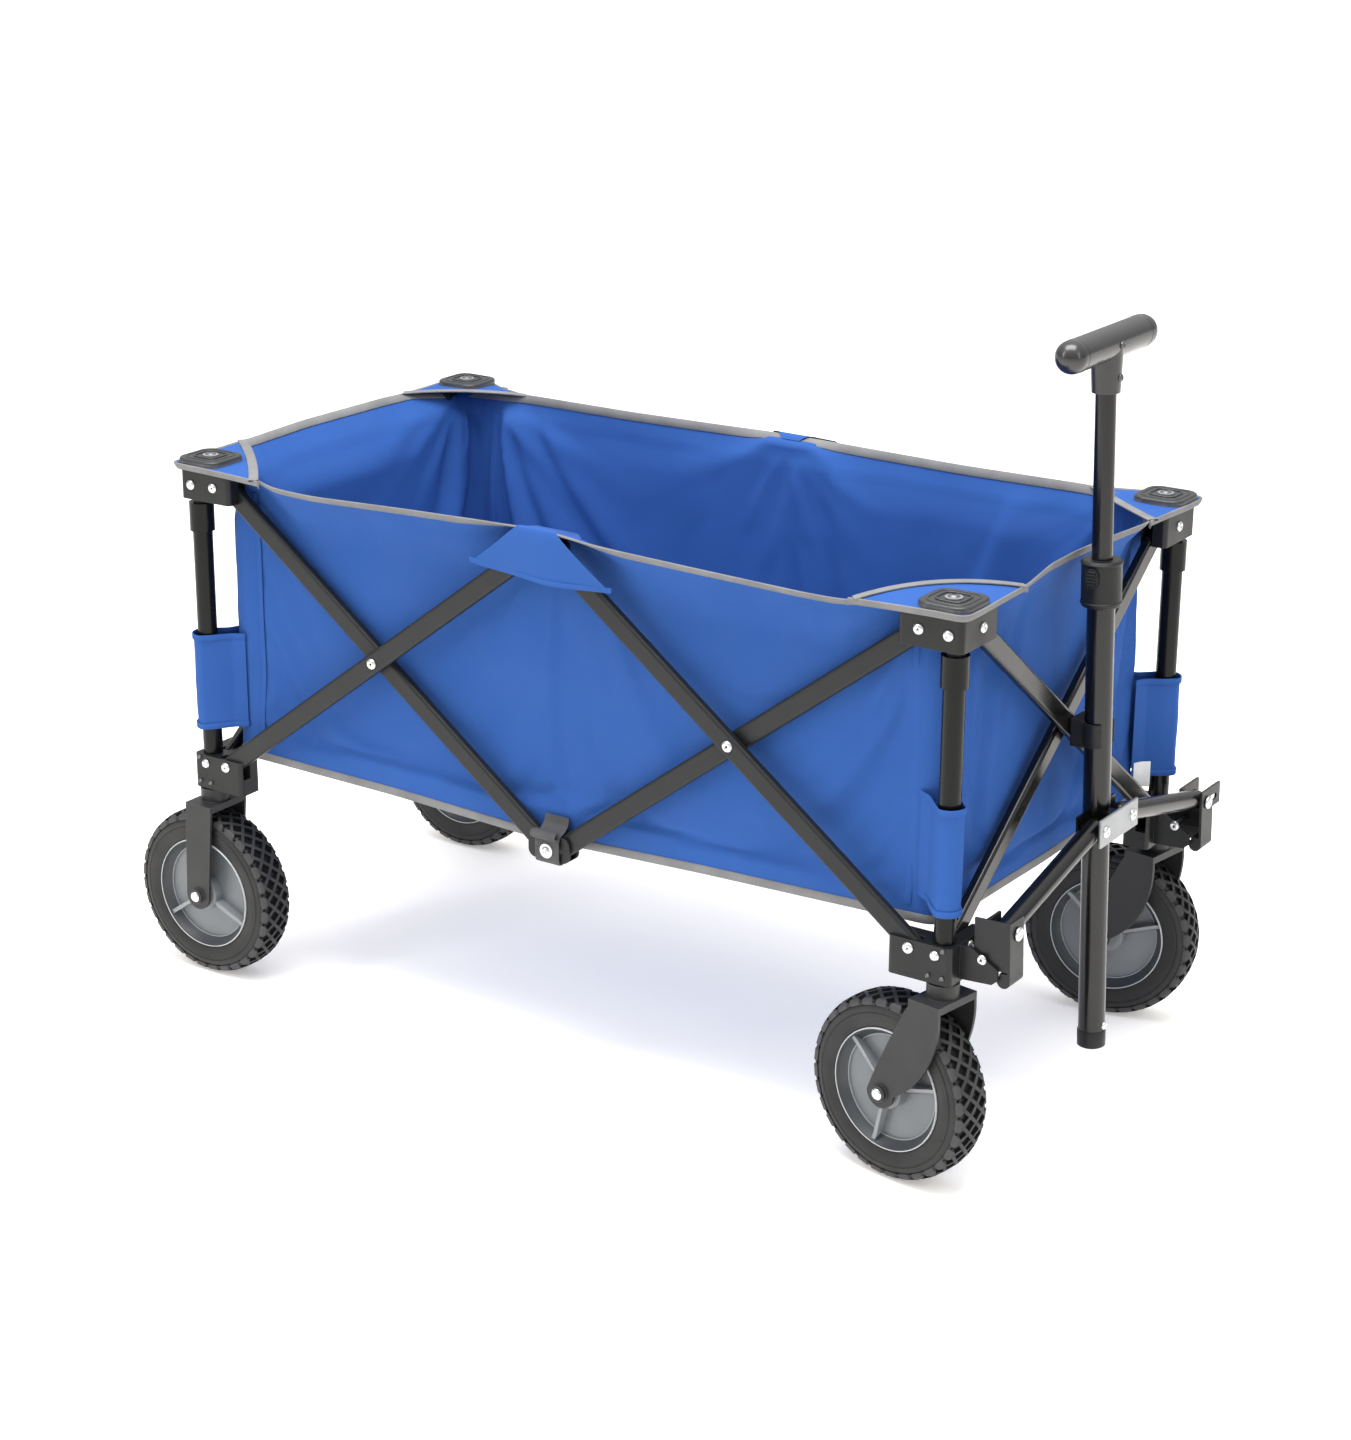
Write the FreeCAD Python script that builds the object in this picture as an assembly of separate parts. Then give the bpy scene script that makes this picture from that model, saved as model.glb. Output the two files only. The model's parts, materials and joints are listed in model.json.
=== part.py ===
"""Folding pull-along wagon: a scissor frame with four posts, a fabric tub, four wheels and a tilting handle.

Millimetres, +Z up, ground at Z = 0. +X is the handle end, -Y is the right-hand side. One STEP file per piece.
"""
import FreeCAD, Part
import os
from math import asin, atan2, cos, degrees, hypot, radians, sin

V = FreeCAD.Vector
X_AXIS, Y_AXIS, Z_AXIS = V(1, 0, 0), V(0, 1, 0), V(0, 0, 1)

# Posts: half spacings of their axes, and where the origin lies along X from the middle of the frame
HALF_X, HALF_Y = 430.0, 216.0
ORIGIN_X = -16.0

# Scissor linkage: every bar has the same pivot spacing, so all folding angles keep constant ratios
PIVOT_LOW, PIVOT_HIGH = 234.0, 529.0
SIDE_INSET = 29.0            # side pivots, inwards from the post axis along X
CENTRE_PITCH = 24.0          # between the two pivots of a hinge in the middle of a side
REACH = HALF_X - SIDE_INSET - CENTRE_PITCH / 2
END_INSET = HALF_Y - REACH / 2
BAR_LENGTH = hypot(REACH, PIVOT_HIGH - PIVOT_LOW)
BAR_HEIGHT, BAR_DEPTH, BAR_WALL, BAR_EDGE = 20.0, 10.0, 1.6, 3.6
LAYER_GAP = 0.5              # from the pivot plane to either layer of bars
PIN_R, RUNNING_FIT = 3.0, 0.05
HEAD_R, HEAD_HEIGHT = 4.4, 1.8

# Posts and the tubes that telescope in them
POST_R, POST_BORE, POST_TOP = 10.0, 8.4, 500.0
COLLAR_R, COLLAR_LOW, COLLAR_HIGH = 12.6, 479.0, 508.0
SLIDER_R, SLIDER_BORE, SLIDER_LOW = 8.05, 6.4, 300.0

# Moulded corner brackets
BRACKET_OUT, BRACKET_IN, BRACKET_HALF = 14.0, 50.0, 14.0
LOW_BRACKET = (206.0, 242.0)
HIGH_BRACKET = (513.0, 546.0)
CAP_Z, CAP_OUT, CAP_IN = (549.0, 555.0), 18.0, 34.0
SLOT_END = 10.8              # slot end, from its pivot

# Wheels and forks
WHEEL_R, TYRE_HALF, HUB_R = 89.0, 21.0, 58.0
AXLE_R, FORK_HALF, LEG_T = 5.0, 24.5, 3.0
CROWN = (184.0, 191.0)
STEM_R, RACE_R = 6.0, 15.0
REAR_SETBACK, CASTER_TRAIL, CASTER_TURN = 6.0, 46.0, -9.0

# Handle, drawn upright about its tilting axis and then leant back with it
TILT_X, TILT_Z, LEAN = 465.5, 232.5, 1.9
TUBE_X, ARM_X = TILT_X + 3.3, TILT_X + 13.8
ARM_R, ARM_OUT_Y, ARM_OUT_Z = 9.5, 196.0, 257.5
ARM_IN_Y, ARM_IN_Z = 27.5, 297.5
LOWER_R, LOWER_BORE, LOWER_Z = 12.75, 11.2, (74.0, 520.0)
UPPER_R, UPPER_BORE, UPPER_Z = 9.5, 8.0, (250.0, 712.0)
LOCK_R, LOCK_Z, BUTTON_Z = 18.5, (502.0, 546.0), 532.0
GRIP_Z, GRIP_R, GRIP_LENGTH = 741.0, 15.0, 165.0
OPEN_PIVOT_TRAVEL = 19.0     # free play of the left arm's pivot along Y, half-way through the fold

# Fabric tub
TUB_GAP, CLOTH, TUB_LOW, TUB_HIGH = 15.8, 3.0, 243.0, 545.0
FLOOR_Z = (243.0, 247.0)

PIVOT_MID = (PIVOT_LOW + PIVOT_HIGH) / 2


def block(x0, x1, y0, y1, z0, z1):
    """A box between pairs of limits, in either order."""
    (x0, x1), (y0, y1), (z0, z1) = sorted((x0, x1)), sorted((y0, y1)), sorted((z0, z1))
    return Part.makeBox(x1 - x0, y1 - y0, z1 - z0, V(x0, y0, z0))


def rod(start, end, radius):
    """A round bar between two points."""
    return Part.makeCylinder(radius, (end - start).Length, start, end - start)


def pipe(start, end, outer, bore):
    """A round tube between two points."""
    return rod(start, end, outer).cut(rod(start, end, bore))


def dome(base, direction, radius=HEAD_R, height=HEAD_HEIGHT):
    """A low round rivet head standing on a face."""
    ball = (radius ** 2 + height ** 2) / (2 * height)
    centre = base - direction * (ball - height)
    return Part.makeSphere(ball, centre, direction, degrees(asin((ball - height) / ball)), 90, 360)


def rivet(start, end, heads=(True, True), radius=PIN_R):
    """A headed pin between two faces."""
    along = (end - start).normalize()
    pin = rod(start, end, radius)
    for wanted, place, way in ((heads[0], start, along * -1), (heads[1], end, along)):
        pin = pin.fuse(dome(place, way)) if wanted else pin
    return pin


def extruded(points, way):
    """A prism on a closed outline of straight edges."""
    return Part.Face(Part.makePolygon(points + points[:1])).extrude(way)


def fillet_upright(shape, radius):
    """Round the vertical edges of a prism."""
    upright = [e for e in shape.Edges
               if abs(abs(e.tangentAt(e.FirstParameter).z) - 1) < 1e-6 and isinstance(e.Curve, Part.Line)]
    return shape.makeFillet(radius, upright)


def rounded_block(x0, x1, y0, y1, z0, z1, radius):
    """A box with rounded vertical edges."""
    return fillet_upright(block(x0, x1, y0, y1, z0, z1), radius)


def export(name, *solids):
    """Write one piece, moved so that the origin is under the middle of the whole wagon."""
    shape = solids[0] if len(solids) == 1 else Part.makeCompound(list(solids))
    shape = shape.copy()
    shape.translate(V(-ORIGIN_X, 0, 0))
    for solid in shape.Solids:
        if not solid.isValid():
            print("invalid solid in", name)
    shape.exportStep("parts/" + name + ".step")


class Corner:
    """A corner post and its surroundings: u runs inwards from the post's axis along X, v inwards along Y."""

    def __init__(self, name, sx, sy):
        self.name, self.sx, self.sy = name, sx, sy
        # on the right the end bar at the foot is in the inner layer, and on the left in the outer one
        self.low_end_layer = 1 if sy < 0 else -1

    def at(self, u, v, z):
        return V(self.sx * (HALF_X - u), self.sy * (HALF_Y - v), z)

    def box(self, u0, u1, v0, v1, z0, z1):
        low, high = self.at(u0, v0, z0), self.at(u1, v1, z1)
        return block(low.x, high.x, low.y, high.y, z0, z1)

    def bracket(self, z0, z1):
        """The L-shaped moulding round the post, with both arms still solid."""
        out, inside, half = BRACKET_OUT, BRACKET_IN, BRACKET_HALF
        outline = ((-out, -half), (inside, -half), (inside, half), (half, half), (half, inside), (-out, inside))
        shape = extruded([self.at(u, v, z0) for u, v in outline], V(0, 0, z1 - z0))
        return fillet_upright(shape, 5)

    def slots(self, side_layer, end_layer, z0, z1):
        """The two slots that the bars swing in, from one height to another."""
        side, end = layer(side_layer), layer(end_layer)
        return (self.box(SIDE_INSET - SLOT_END, BRACKET_IN + 1, side[0], side[1], z0, z1),
                self.box(end[0], end[1], END_INSET - SLOT_END, BRACKET_IN + 1, z0, z1))

    def pins(self, z):
        """The rivets that the side bar and the end bar turn on, headed on the outside only."""
        half = BRACKET_HALF
        return [rivet(self.at(SIDE_INSET, -half, z), self.at(SIDE_INSET, half, z), (True, False)),
                rivet(self.at(-BRACKET_OUT, END_INSET, z), self.at(half, END_INSET, z), (True, False))]


def layer(index):
    """Limits of a slot, measured inwards from the pivot plane: -1 is the outer layer of bars, 1 the inner."""
    side_clearance = 0.4
    near, far = LAYER_GAP - side_clearance, LAYER_GAP + BAR_DEPTH + side_clearance
    return (near, far) if index > 0 else (-far, -near)


def make_post(corner):
    foot = corner.at(0, 0, LOW_BRACKET[0] + 6)
    tube = pipe(foot, corner.at(0, 0, POST_TOP), POST_R, POST_BORE)
    collar = pipe(corner.at(0, 0, COLLAR_LOW), corner.at(0, 0, COLLAR_HIGH), COLLAR_R, POST_R)
    stop_ring = pipe(corner.at(0, 0, POST_TOP), corner.at(0, 0, COLLAR_HIGH), POST_R, POST_BORE)
    export("post_" + corner.name, tube, collar.fuse(stop_ring).removeSplitter())


def make_low_bracket(corner):
    low, high = LOW_BRACKET
    shape = corner.bracket(low, high)
    for slot in corner.slots(-1, corner.low_end_layer, PIVOT_LOW - SLOT_END, high + 1):
        shape = shape.cut(slot)
    shape = shape.cut(rod(corner.at(0, 0, low + 6), corner.at(0, 0, high + 1), POST_R))
    shape = shape.cut(rod(corner.at(0, 0, low - 1), corner.at(0, 0, high), STEM_R + RUNNING_FIT))
    pins = corner.pins(PIVOT_LOW)
    if corner.sx > 0:
        shape = shape.fuse(lugs(corner)).removeSplitter()
        pins.append(rivet(V(TILT_X, corner.sy * 179.5, TILT_Z), V(TILT_X, corner.sy * 213, TILT_Z)))
    for pin in pins:
        shape = shape.cut(pin)
    export("bottom_bracket_" + corner.name, shape, *pins)


def lugs(corner):
    """The two forward plates that hold the handle's tilting bracket between them."""
    profile = ((442, 241), (455, 241), (481, 226), (482, 216), (476, 211), (442, 209))
    plates = []
    for y0, y1 in ((179.5, 182.5), (210, 213)):
        points = [V(x, corner.sy * y0, z) for x, z in profile]
        plates.append(extruded(points, V(0, corner.sy * (y1 - y0), 0)))
    return plates


def make_high_bracket(corner):
    low, high = HIGH_BRACKET
    shape = corner.bracket(low, high)
    for slot in corner.slots(1, -corner.low_end_layer, low - 1, PIVOT_HIGH + SLOT_END):
        shape = shape.cut(slot)
    shape = shape.fuse(rod(corner.at(0, 0, SLIDER_LOW), corner.at(0, 0, low), SLIDER_R)).removeSplitter()
    shape = shape.cut(rod(corner.at(0, 0, SLIDER_LOW - 1), corner.at(0, 0, low + 12), SLIDER_BORE))
    pins = corner.pins(PIVOT_HIGH)
    for pin in pins:
        shape = shape.cut(pin)
    export("top_bracket_" + corner.name, shape, *pins)
    low_cap, high_cap = CAP_Z
    ends = corner.at(-CAP_OUT, -CAP_OUT, low_cap), corner.at(CAP_IN, CAP_IN, high_cap)
    cap = rounded_block(ends[0].x, ends[1].x, ends[0].y, ends[1].y, HIGH_BRACKET[1], high_cap, 14)
    cap = cap.makeFillet(2.5, [e for e in cap.Edges if abs(e.CenterOfMass.z - high_cap) < 1e-6])
    export("cap_" + corner.name, cap)


def make_bar(name, start, end, out, index, owns_crossing):
    """A flat-oval tube between two pivots: out is the outward normal, index its layer.

    The rivet at the crossing belongs to the bar that owns it, and the other bar turns on it.
    """
    radius = BAR_HEIGHT / 2
    along = (end - start).normalize()
    inner, outer = (LAYER_GAP, LAYER_GAP + BAR_DEPTH) if index < 0 else (-LAYER_GAP - BAR_DEPTH, -LAYER_GAP)

    def stadium(r, y0, y1):
        top, bottom = V(0, y0, r), V(0, y0, -r)
        far = V(BAR_LENGTH, 0, 0)
        edges = [Part.LineSegment(top, top + far), Part.Arc(top + far, V(BAR_LENGTH + r, y0, 0), bottom + far),
                 Part.LineSegment(bottom + far, bottom), Part.Arc(bottom, V(-r, y0, 0), top)]
        return Part.Face(Part.Wire([e.toShape() for e in edges])).extrude(V(0, y1 - y0, 0))

    shape = stadium(radius, inner, outer)
    rims = [e for e in shape.Edges if abs(e.CenterOfMass.y - inner) < 1e-6 or abs(e.CenterOfMass.y - outer) < 1e-6]
    shape = shape.makeFillet(BAR_EDGE, rims)
    shape = shape.cut(stadium(radius - BAR_WALL, inner + BAR_WALL, outer - BAR_WALL))
    middle = PIN_R if owns_crossing else PIN_R + RUNNING_FIT
    for place, hole in ((0, PIN_R + RUNNING_FIT), (BAR_LENGTH / 2, middle), (BAR_LENGTH, PIN_R + RUNNING_FIT)):
        shape = shape.cut(rod(V(place, inner - 1, 0), V(place, outer + 1, 0), hole))
    shape.Placement = FreeCAD.Placement(start, FreeCAD.Rotation(along, out, along.cross(out), "XYZ"))
    solids = [shape]
    if owns_crossing:
        middle_point = (start + end) * 0.5
        ends = middle_point - out * (LAYER_GAP + BAR_DEPTH), middle_point + out * (LAYER_GAP + BAR_DEPTH)
        has_clip = out.x > 0
        solids.append(rivet(ends[0], ends[1], (True, not has_clip)))
    export(name, *solids)


def make_side_bars(side, sy):
    """The two scissors of one long side."""
    out, y = V(0, sy, 0), sy * HALF_Y
    for end, sx in (("rear", -1), ("front", 1)):
        outer_x, inner_x = sx * (HALF_X - SIDE_INSET), sx * CENTRE_PITCH / 2
        make_bar(f"side_bar_{side}_{end}_outer", V(outer_x, y, PIVOT_LOW), V(inner_x, y, PIVOT_HIGH), out, -1, True)
        make_bar(f"side_bar_{side}_{end}_inner", V(outer_x, y, PIVOT_HIGH), V(inner_x, y, PIVOT_LOW), out, 1, False)


def make_end_bars(end, sx):
    """The scissor of one short end."""
    out, x, y = V(sx, 0, 0), sx * HALF_X, HALF_Y - END_INSET
    make_bar(f"end_bar_{end}_outer", V(x, -y, PIVOT_HIGH), V(x, y, PIVOT_LOW), out, -1, True)
    make_bar(f"end_bar_{end}_inner", V(x, -y, PIVOT_LOW), V(x, y, PIVOT_HIGH), out, 1, False)


def make_centre_bracket(name, sy, pivot_z, index):
    """The channel in the middle of a long side that joins two bars of one layer."""
    wall, half_height, half_length = 3.0, 13.0, 24.0
    near, far = layer(index)
    ys = [sy * (HALF_Y - v) for v in (near - wall, near, far, far + wall)]
    closed = -1 if index > 0 else 1
    z_closed, z_open = pivot_z + closed * half_height, pivot_z - closed * half_height
    shape = block(-half_length, half_length, ys[0], ys[3], z_closed, z_open)
    shape = shape.makeFillet(8, [e for e in shape.Edges if abs(abs(e.tangentAt(0).y) - 1) < 1e-6])
    z_slot = pivot_z + closed * SLOT_END
    shape = shape.cut(block(-half_length - 1, half_length + 1, ys[1], ys[2], z_slot, z_open - closed))
    pins = []
    for x in (-CENTRE_PITCH / 2, CENTRE_PITCH / 2):
        pins.append(rivet(V(x, ys[0], pivot_z), V(x, ys[3], pivot_z)))
        shape = shape.cut(pins[-1])
    export(name, shape, *pins)


def fork(trail, curved):
    """A wheel fork about its own upright axis: two legs, a crown, a bearing race, a stem and the axle bolt."""
    hub, foot_r = V(-trail, 0, WHEEL_R), 15.0
    front, back = 17.0, -17.0
    low_front, low_back = hub + V(foot_r, 0, 0), hub - V(foot_r, 0, 0)
    top_front, top_back = V(front, 0, CROWN[0]), V(back, 0, CROWN[0])
    if curved:
        sides = [Part.Arc(top_front, V(4, 0, 126), low_front), Part.Arc(low_back, V(-42, 0, 134), top_back)]
    else:
        sides = [Part.LineSegment(top_front, low_front), Part.LineSegment(low_back, top_back)]
    loop = [sides[0], Part.Arc(low_front, hub - V(0, 0, foot_r), low_back), sides[1],
            Part.LineSegment(top_back, V(back, 0, CROWN[1])), Part.LineSegment(V(back, 0, CROWN[1]), V(front, 0, CROWN[1])),
            Part.LineSegment(V(front, 0, CROWN[1]), top_front)]
    profile = Part.Face(Part.Wire([e.toShape() for e in loop]))
    shape = block(back, front, -FORK_HALF, FORK_HALF, *CROWN)
    for sign in (-1, 1):
        leg = profile.extrude(V(0, sign * LEG_T, 0))
        leg.translate(V(0, sign * FORK_HALF, 0))
        shape = shape.fuse(leg)
    shape = shape.fuse(rod(V(0, 0, CROWN[0]), V(0, 0, LOW_BRACKET[0] - 1.5), RACE_R))
    shape = shape.fuse(rod(V(0, 0, CROWN[0]), V(0, 0, LOW_BRACKET[0] + 14), STEM_R)).removeSplitter()
    outside = FORK_HALF + LEG_T
    bolt = rod(hub - V(0, outside, 0), hub + V(0, outside, 0), AXLE_R)
    for sign in (-1, 1):
        face = hub + V(0, sign * outside, 0)
        bolt = bolt.fuse(rod(face, face + V(0, sign * 4, 0), 8))
    return shape.cut(bolt), bolt


def wheel_solids(trail):
    """The tyre and the moulded hub of one wheel."""
    hub = V(-trail, 0, WHEEL_R)
    half, shoulder = TYRE_HALF, 5.0
    tyre_outline = [(HUB_R, -half + 3), (WHEEL_R - 13, -half), (WHEEL_R - 4, -half + 2), (WHEEL_R, -half + shoulder + 2)]
    hub_outline = [(AXLE_R + RUNNING_FIT, -FORK_HALF + 0.8), (14, -FORK_HALF + 0.8), (16, -9), (50, -9),
                   (51, -half + 3), (HUB_R, -half + 3)]
    solids = []
    for outline in (tyre_outline, hub_outline):
        points = [V(r, y, 0) for r, y in outline] + [V(r, -y, 0) for r, y in reversed(outline)]
        solid = Part.Face(Part.makePolygon(points + points[:1])).revolve(V(0, 0, 0), Y_AXIS, 360)
        solid.translate(hub)
        solids.append(solid)
    return solids


def make_wheel_set(corner):
    rear = corner.sx < 0
    trail = REAR_SETBACK if rear else CASTER_TRAIL
    turn = 0 if rear else CASTER_TURN
    names = "fork", "tyre", "hub"
    groups = [list(fork(trail, curved=not rear)), *([s] for s in wheel_solids(trail))]
    for name, group in zip(names, groups):
        for solid in group:
            solid.rotate(V(0, 0, 0), Z_AXIS, turn)
            solid.translate(corner.at(0, 0, 0))
        export(f"{name}_{corner.name}", *group)


def leant(*solids):
    """Handle pieces turned back with the handle about its tilting axis."""
    for solid in solids:
        solid.rotate(V(TILT_X, 0, TILT_Z), Y_AXIS, -LEAN)
    return solids


def make_tilt_bracket(side, sy):
    """The channel between two lugs that carries the outer end of a yoke arm.

    The left one has slotted cheeks and a low web, because its arm's pivot has free play along Y.
    """
    play = OPEN_PIVOT_TRAVEL if sy > 0 else 0.0
    cheek, gap, web = 2.5, 0.4, 2.5
    inside, outside = sy * 184.5, sy * (ARM_OUT_Y + ARM_R + 1.5 + web)
    rear_x, front_x = ARM_X - ARM_R - gap, ARM_X + ARM_R + gap
    top = ARM_OUT_Z + 12
    web_top = ARM_OUT_Z - ARM_R - 1.5 if play else top
    far = outside + sy * max(0.0, play - 3)
    shape = block(TILT_X - 9, front_x + cheek, outside - sy * web, outside, TILT_Z - 9, web_top)
    shape = shape.fuse([block(front_x, front_x + cheek, inside, outside, TILT_Z - 12, top),
                        block(front_x, front_x + cheek, inside, far, ARM_OUT_Z - 9, top),
                        block(rear_x - cheek, rear_x, inside, far, ARM_OUT_Z - 9.5, top),
                        block(rear_x - cheek, front_x, outside - sy * web, outside, ARM_OUT_Z - 13, web_top)])
    tip = rod(V(front_x - 4, inside, TILT_Z - 18), V(front_x - 4, outside, TILT_Z - 18), 6.5)
    strut = block(front_x - 8, front_x + cheek, inside, outside, TILT_Z - 18, TILT_Z - 11)
    shape = shape.fuse([tip, strut]).removeSplitter()
    pivot = V(rear_x - cheek, sy * ARM_OUT_Y, ARM_OUT_Z), V(front_x + cheek, sy * ARM_OUT_Y, ARM_OUT_Z)
    hole = rod(pivot[0] - X_AXIS, pivot[1] + X_AXIS, PIN_R + RUNNING_FIT)
    if play:
        free = PIN_R + RUNNING_FIT
        slide = V(0, sy * play, 0)
        slot = block(pivot[0].x - 1, pivot[1].x + 1, pivot[0].y, pivot[0].y + slide.y, ARM_OUT_Z - free, ARM_OUT_Z + free)
        shape = shape.cut(slot).cut(rod(pivot[0] - X_AXIS + slide, pivot[1] + X_AXIS + slide, free))
    shape = shape.cut(hole)
    shape = shape.cut(rod(V(TILT_X, sy * 170, TILT_Z), V(TILT_X, sy * 230, TILT_Z), PIN_R + RUNNING_FIT))
    export("tilt_bracket_" + side, *leant(shape))


def make_arm(side, sy):
    """A yoke arm, with the rivet of its outer end."""
    outer, inner = V(ARM_X, sy * ARM_OUT_Y, ARM_OUT_Z), V(ARM_X, sy * ARM_IN_Y, ARM_IN_Z)
    shape = rod(outer, inner, ARM_R).fuse([Part.makeSphere(ARM_R, outer), Part.makeSphere(ARM_R, inner)])
    shape = shape.removeSplitter()
    reach = V(ARM_R + 0.4 + 2.5, 0, 0)
    pin = rivet(outer - reach, outer + reach)
    shape = shape.cut(rod(outer - reach, outer + reach, PIN_R))
    shape = shape.cut(rod(inner - reach, inner + reach, PIN_R + RUNNING_FIT))
    export("yoke_arm_" + side, *leant(shape, pin))


def make_handle():
    tube = pipe(V(TUBE_X, 0, LOWER_Z[0]), V(TUBE_X, 0, LOWER_Z[1]), LOWER_R, LOWER_BORE)
    face = ARM_X + ARM_R + 0.4
    back = ARM_X - ARM_R - 0.4
    half_z = 13.0
    plate = block(face, face + 2.5, -38, 38, ARM_IN_Z - half_z, ARM_IN_Z + half_z)
    plate = plate.makeFillet(5, [e for e in plate.Edges if abs(abs(e.tangentAt(0).x) - 1) < 1e-6])
    spacer = block(TUBE_X + LOWER_R - 2, face, -8, 8, ARM_IN_Z - 10, ARM_IN_Z + 10)
    ears = [block(back - 2.5, back, s * (LOWER_R - 1), s * 38, ARM_IN_Z - half_z, ARM_IN_Z + half_z) for s in (-1, 1)]
    shape = tube.fuse([plate, spacer, *ears]).cut(rod(V(TUBE_X, 0, 0), V(TUBE_X, 0, 600), LOWER_BORE))
    shape = shape.removeSplitter()
    pins = []
    for sign in (-1, 1):
        y = sign * ARM_IN_Y
        pins.append(rivet(V(back - 2.5, y, ARM_IN_Z), V(face + 2.5, y, ARM_IN_Z)))
        shape = shape.cut(pins[-1])
    export("handle_lower_tube", *leant(shape, *pins))

    lock = rod(V(TUBE_X, 0, LOCK_Z[0]), V(TUBE_X, 0, LOCK_Z[1]), LOCK_R)
    lock = lock.makeFillet(3, [e for e in lock.Edges if isinstance(e.Curve, Part.Circle)])
    lock = lock.cut(rod(V(TUBE_X, 0, LOCK_Z[0] - 1), V(TUBE_X, 0, LOWER_Z[1]), LOWER_R))
    lock = lock.cut(rod(V(TUBE_X, 0, LOCK_Z[0]), V(TUBE_X, 0, LOCK_Z[1] + 1), UPPER_R + 0.35))
    pocket = button_shape(0.3, LOCK_R - 6.6, LOCK_R + 1)
    export("lock_collar", *leant(lock.cut(pocket)))
    export("lock_button", *leant(button_shape(0, LOCK_R - 3.4, LOCK_R + 3.2)))

    upper = pipe(V(TUBE_X, 0, UPPER_Z[0]), V(TUBE_X, 0, UPPER_Z[1]), UPPER_R, UPPER_BORE)
    export("handle_upper_tube", *leant(upper))
    half = GRIP_LENGTH / 2 - GRIP_R
    ends = V(TUBE_X, -half, GRIP_Z), V(TUBE_X, half, GRIP_Z)
    neck = Part.makeCone(13, 15, 40, V(TUBE_X, 0, GRIP_Z - 43), Z_AXIS)
    grip = rod(ends[0], ends[1], GRIP_R).fuse([Part.makeSphere(GRIP_R, e) for e in ends] + [neck]).removeSplitter()
    grip = grip.cut(rod(V(TUBE_X, 0, GRIP_Z - 50), V(TUBE_X, 0, UPPER_Z[1]), UPPER_R))
    export("grip", *leant(grip))


def button_shape(clearance, deep, proud):
    """The oval push button of the telescope lock, or its pocket, between two depths on the right-hand side."""
    half_width, half_height = 6.0 + clearance, 9.0 + clearance
    straight = half_height - half_width
    shape = block(TUBE_X - half_width, TUBE_X + half_width, -proud, -deep, BUTTON_Z - straight, BUTTON_Z + straight)
    for z in (BUTTON_Z - straight, BUTTON_Z + straight):
        shape = shape.fuse(rod(V(TUBE_X, -proud, z), V(TUBE_X, -deep, z), half_width))
    return shape.removeSplitter()


def make_clip():
    """The snap clip at the front crossing that keeps the handle upright."""
    lean = radians(LEAN)
    rise = PIVOT_MID - TILT_Z
    axis_x = TILT_X + (TUBE_X - TILT_X) * cos(lean) - rise * sin(lean) / cos(lean)
    bore, wall, half = LOWER_R + 0.3, 3.2, 11.0
    centre = V(axis_x, 0, PIVOT_MID)
    ring = pipe(centre - Z_AXIS * half, centre + Z_AXIS * half, bore + wall, bore)
    mouth = extruded([centre + V(0, 0, -half - 1), centre + V(40, -52, -half - 1), centre + V(40, 52, -half - 1)],
                     V(0, 0, 2 * half + 2))
    back = rounded_block(HALF_X + 11, axis_x - 8, -13, 13, PIVOT_MID - 13, PIVOT_MID + 13, 2)
    shape = ring.cut(mouth).fuse(back).cut(rod(centre - Z_AXIS * 20, centre + Z_AXIS * 20, bore)).removeSplitter()
    shape.rotate(centre, Y_AXIS, -LEAN)
    shape = shape.cut(block(HALF_X - 20, HALF_X + 11, -20, 20, 340, 420))
    export("tube_clip", shape)


def make_tub():
    """The fabric tub: four thin walls and a floor that folds along its middle."""
    x, y = HALF_X - TUB_GAP, HALF_Y - TUB_GAP
    for side, sy in (("right", -1), ("left", 1)):
        export("tub_wall_" + side, block(-x, x, sy * y, sy * (y - CLOTH), TUB_LOW, TUB_HIGH))
        export("tub_floor_" + side, block(3.5 - x, x - 3.5, sy * (y - CLOTH - 0.5), sy * 1, *FLOOR_Z))
    for end, sx in (("rear", -1), ("front", 1)):
        inside = y - CLOTH - 0.5
        export("tub_wall_" + end, block(sx * x, sx * (x - CLOTH), -inside, inside, FLOOR_Z[1] + 0.5, TUB_HIGH))


def main():
    os.makedirs("parts", exist_ok=True)
    corners = [Corner(f"{end}_{side}", sx, sy) for end, sx in (("rear", -1), ("front", 1))
               for side, sy in (("right", -1), ("left", 1))]
    for corner in corners:
        make_post(corner)
        make_low_bracket(corner)
        make_high_bracket(corner)
        make_wheel_set(corner)
    for side, sy in (("right", -1), ("left", 1)):
        make_side_bars(side, sy)
        make_centre_bracket(f"centre_hinge_{side}_top", sy, PIVOT_HIGH, -1)
        make_centre_bracket(f"centre_hinge_{side}_bottom", sy, PIVOT_LOW, 1)
        make_tilt_bracket(side, sy)
        make_arm(side, sy)
    make_end_bars("rear", -1)
    make_end_bars("front", 1)
    make_handle()
    make_clip()
    make_tub()
    fold_angle = degrees(atan2(REACH, PIVOT_HIGH - PIVOT_LOW))
    print(f"bar pivots {BAR_LENGTH:.2f} mm apart, leaning {fold_angle:.2f} degrees from upright")


main()
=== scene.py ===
"""Looks of a folding pull-along wagon with a blue fabric tub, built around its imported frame."""

import json
import logging
import math
from collections.abc import Callable, Sequence
from dataclasses import dataclass, field
from enum import Enum

import bpy
import numpy as np
from mathutils import Matrix, Vector, noise

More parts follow.
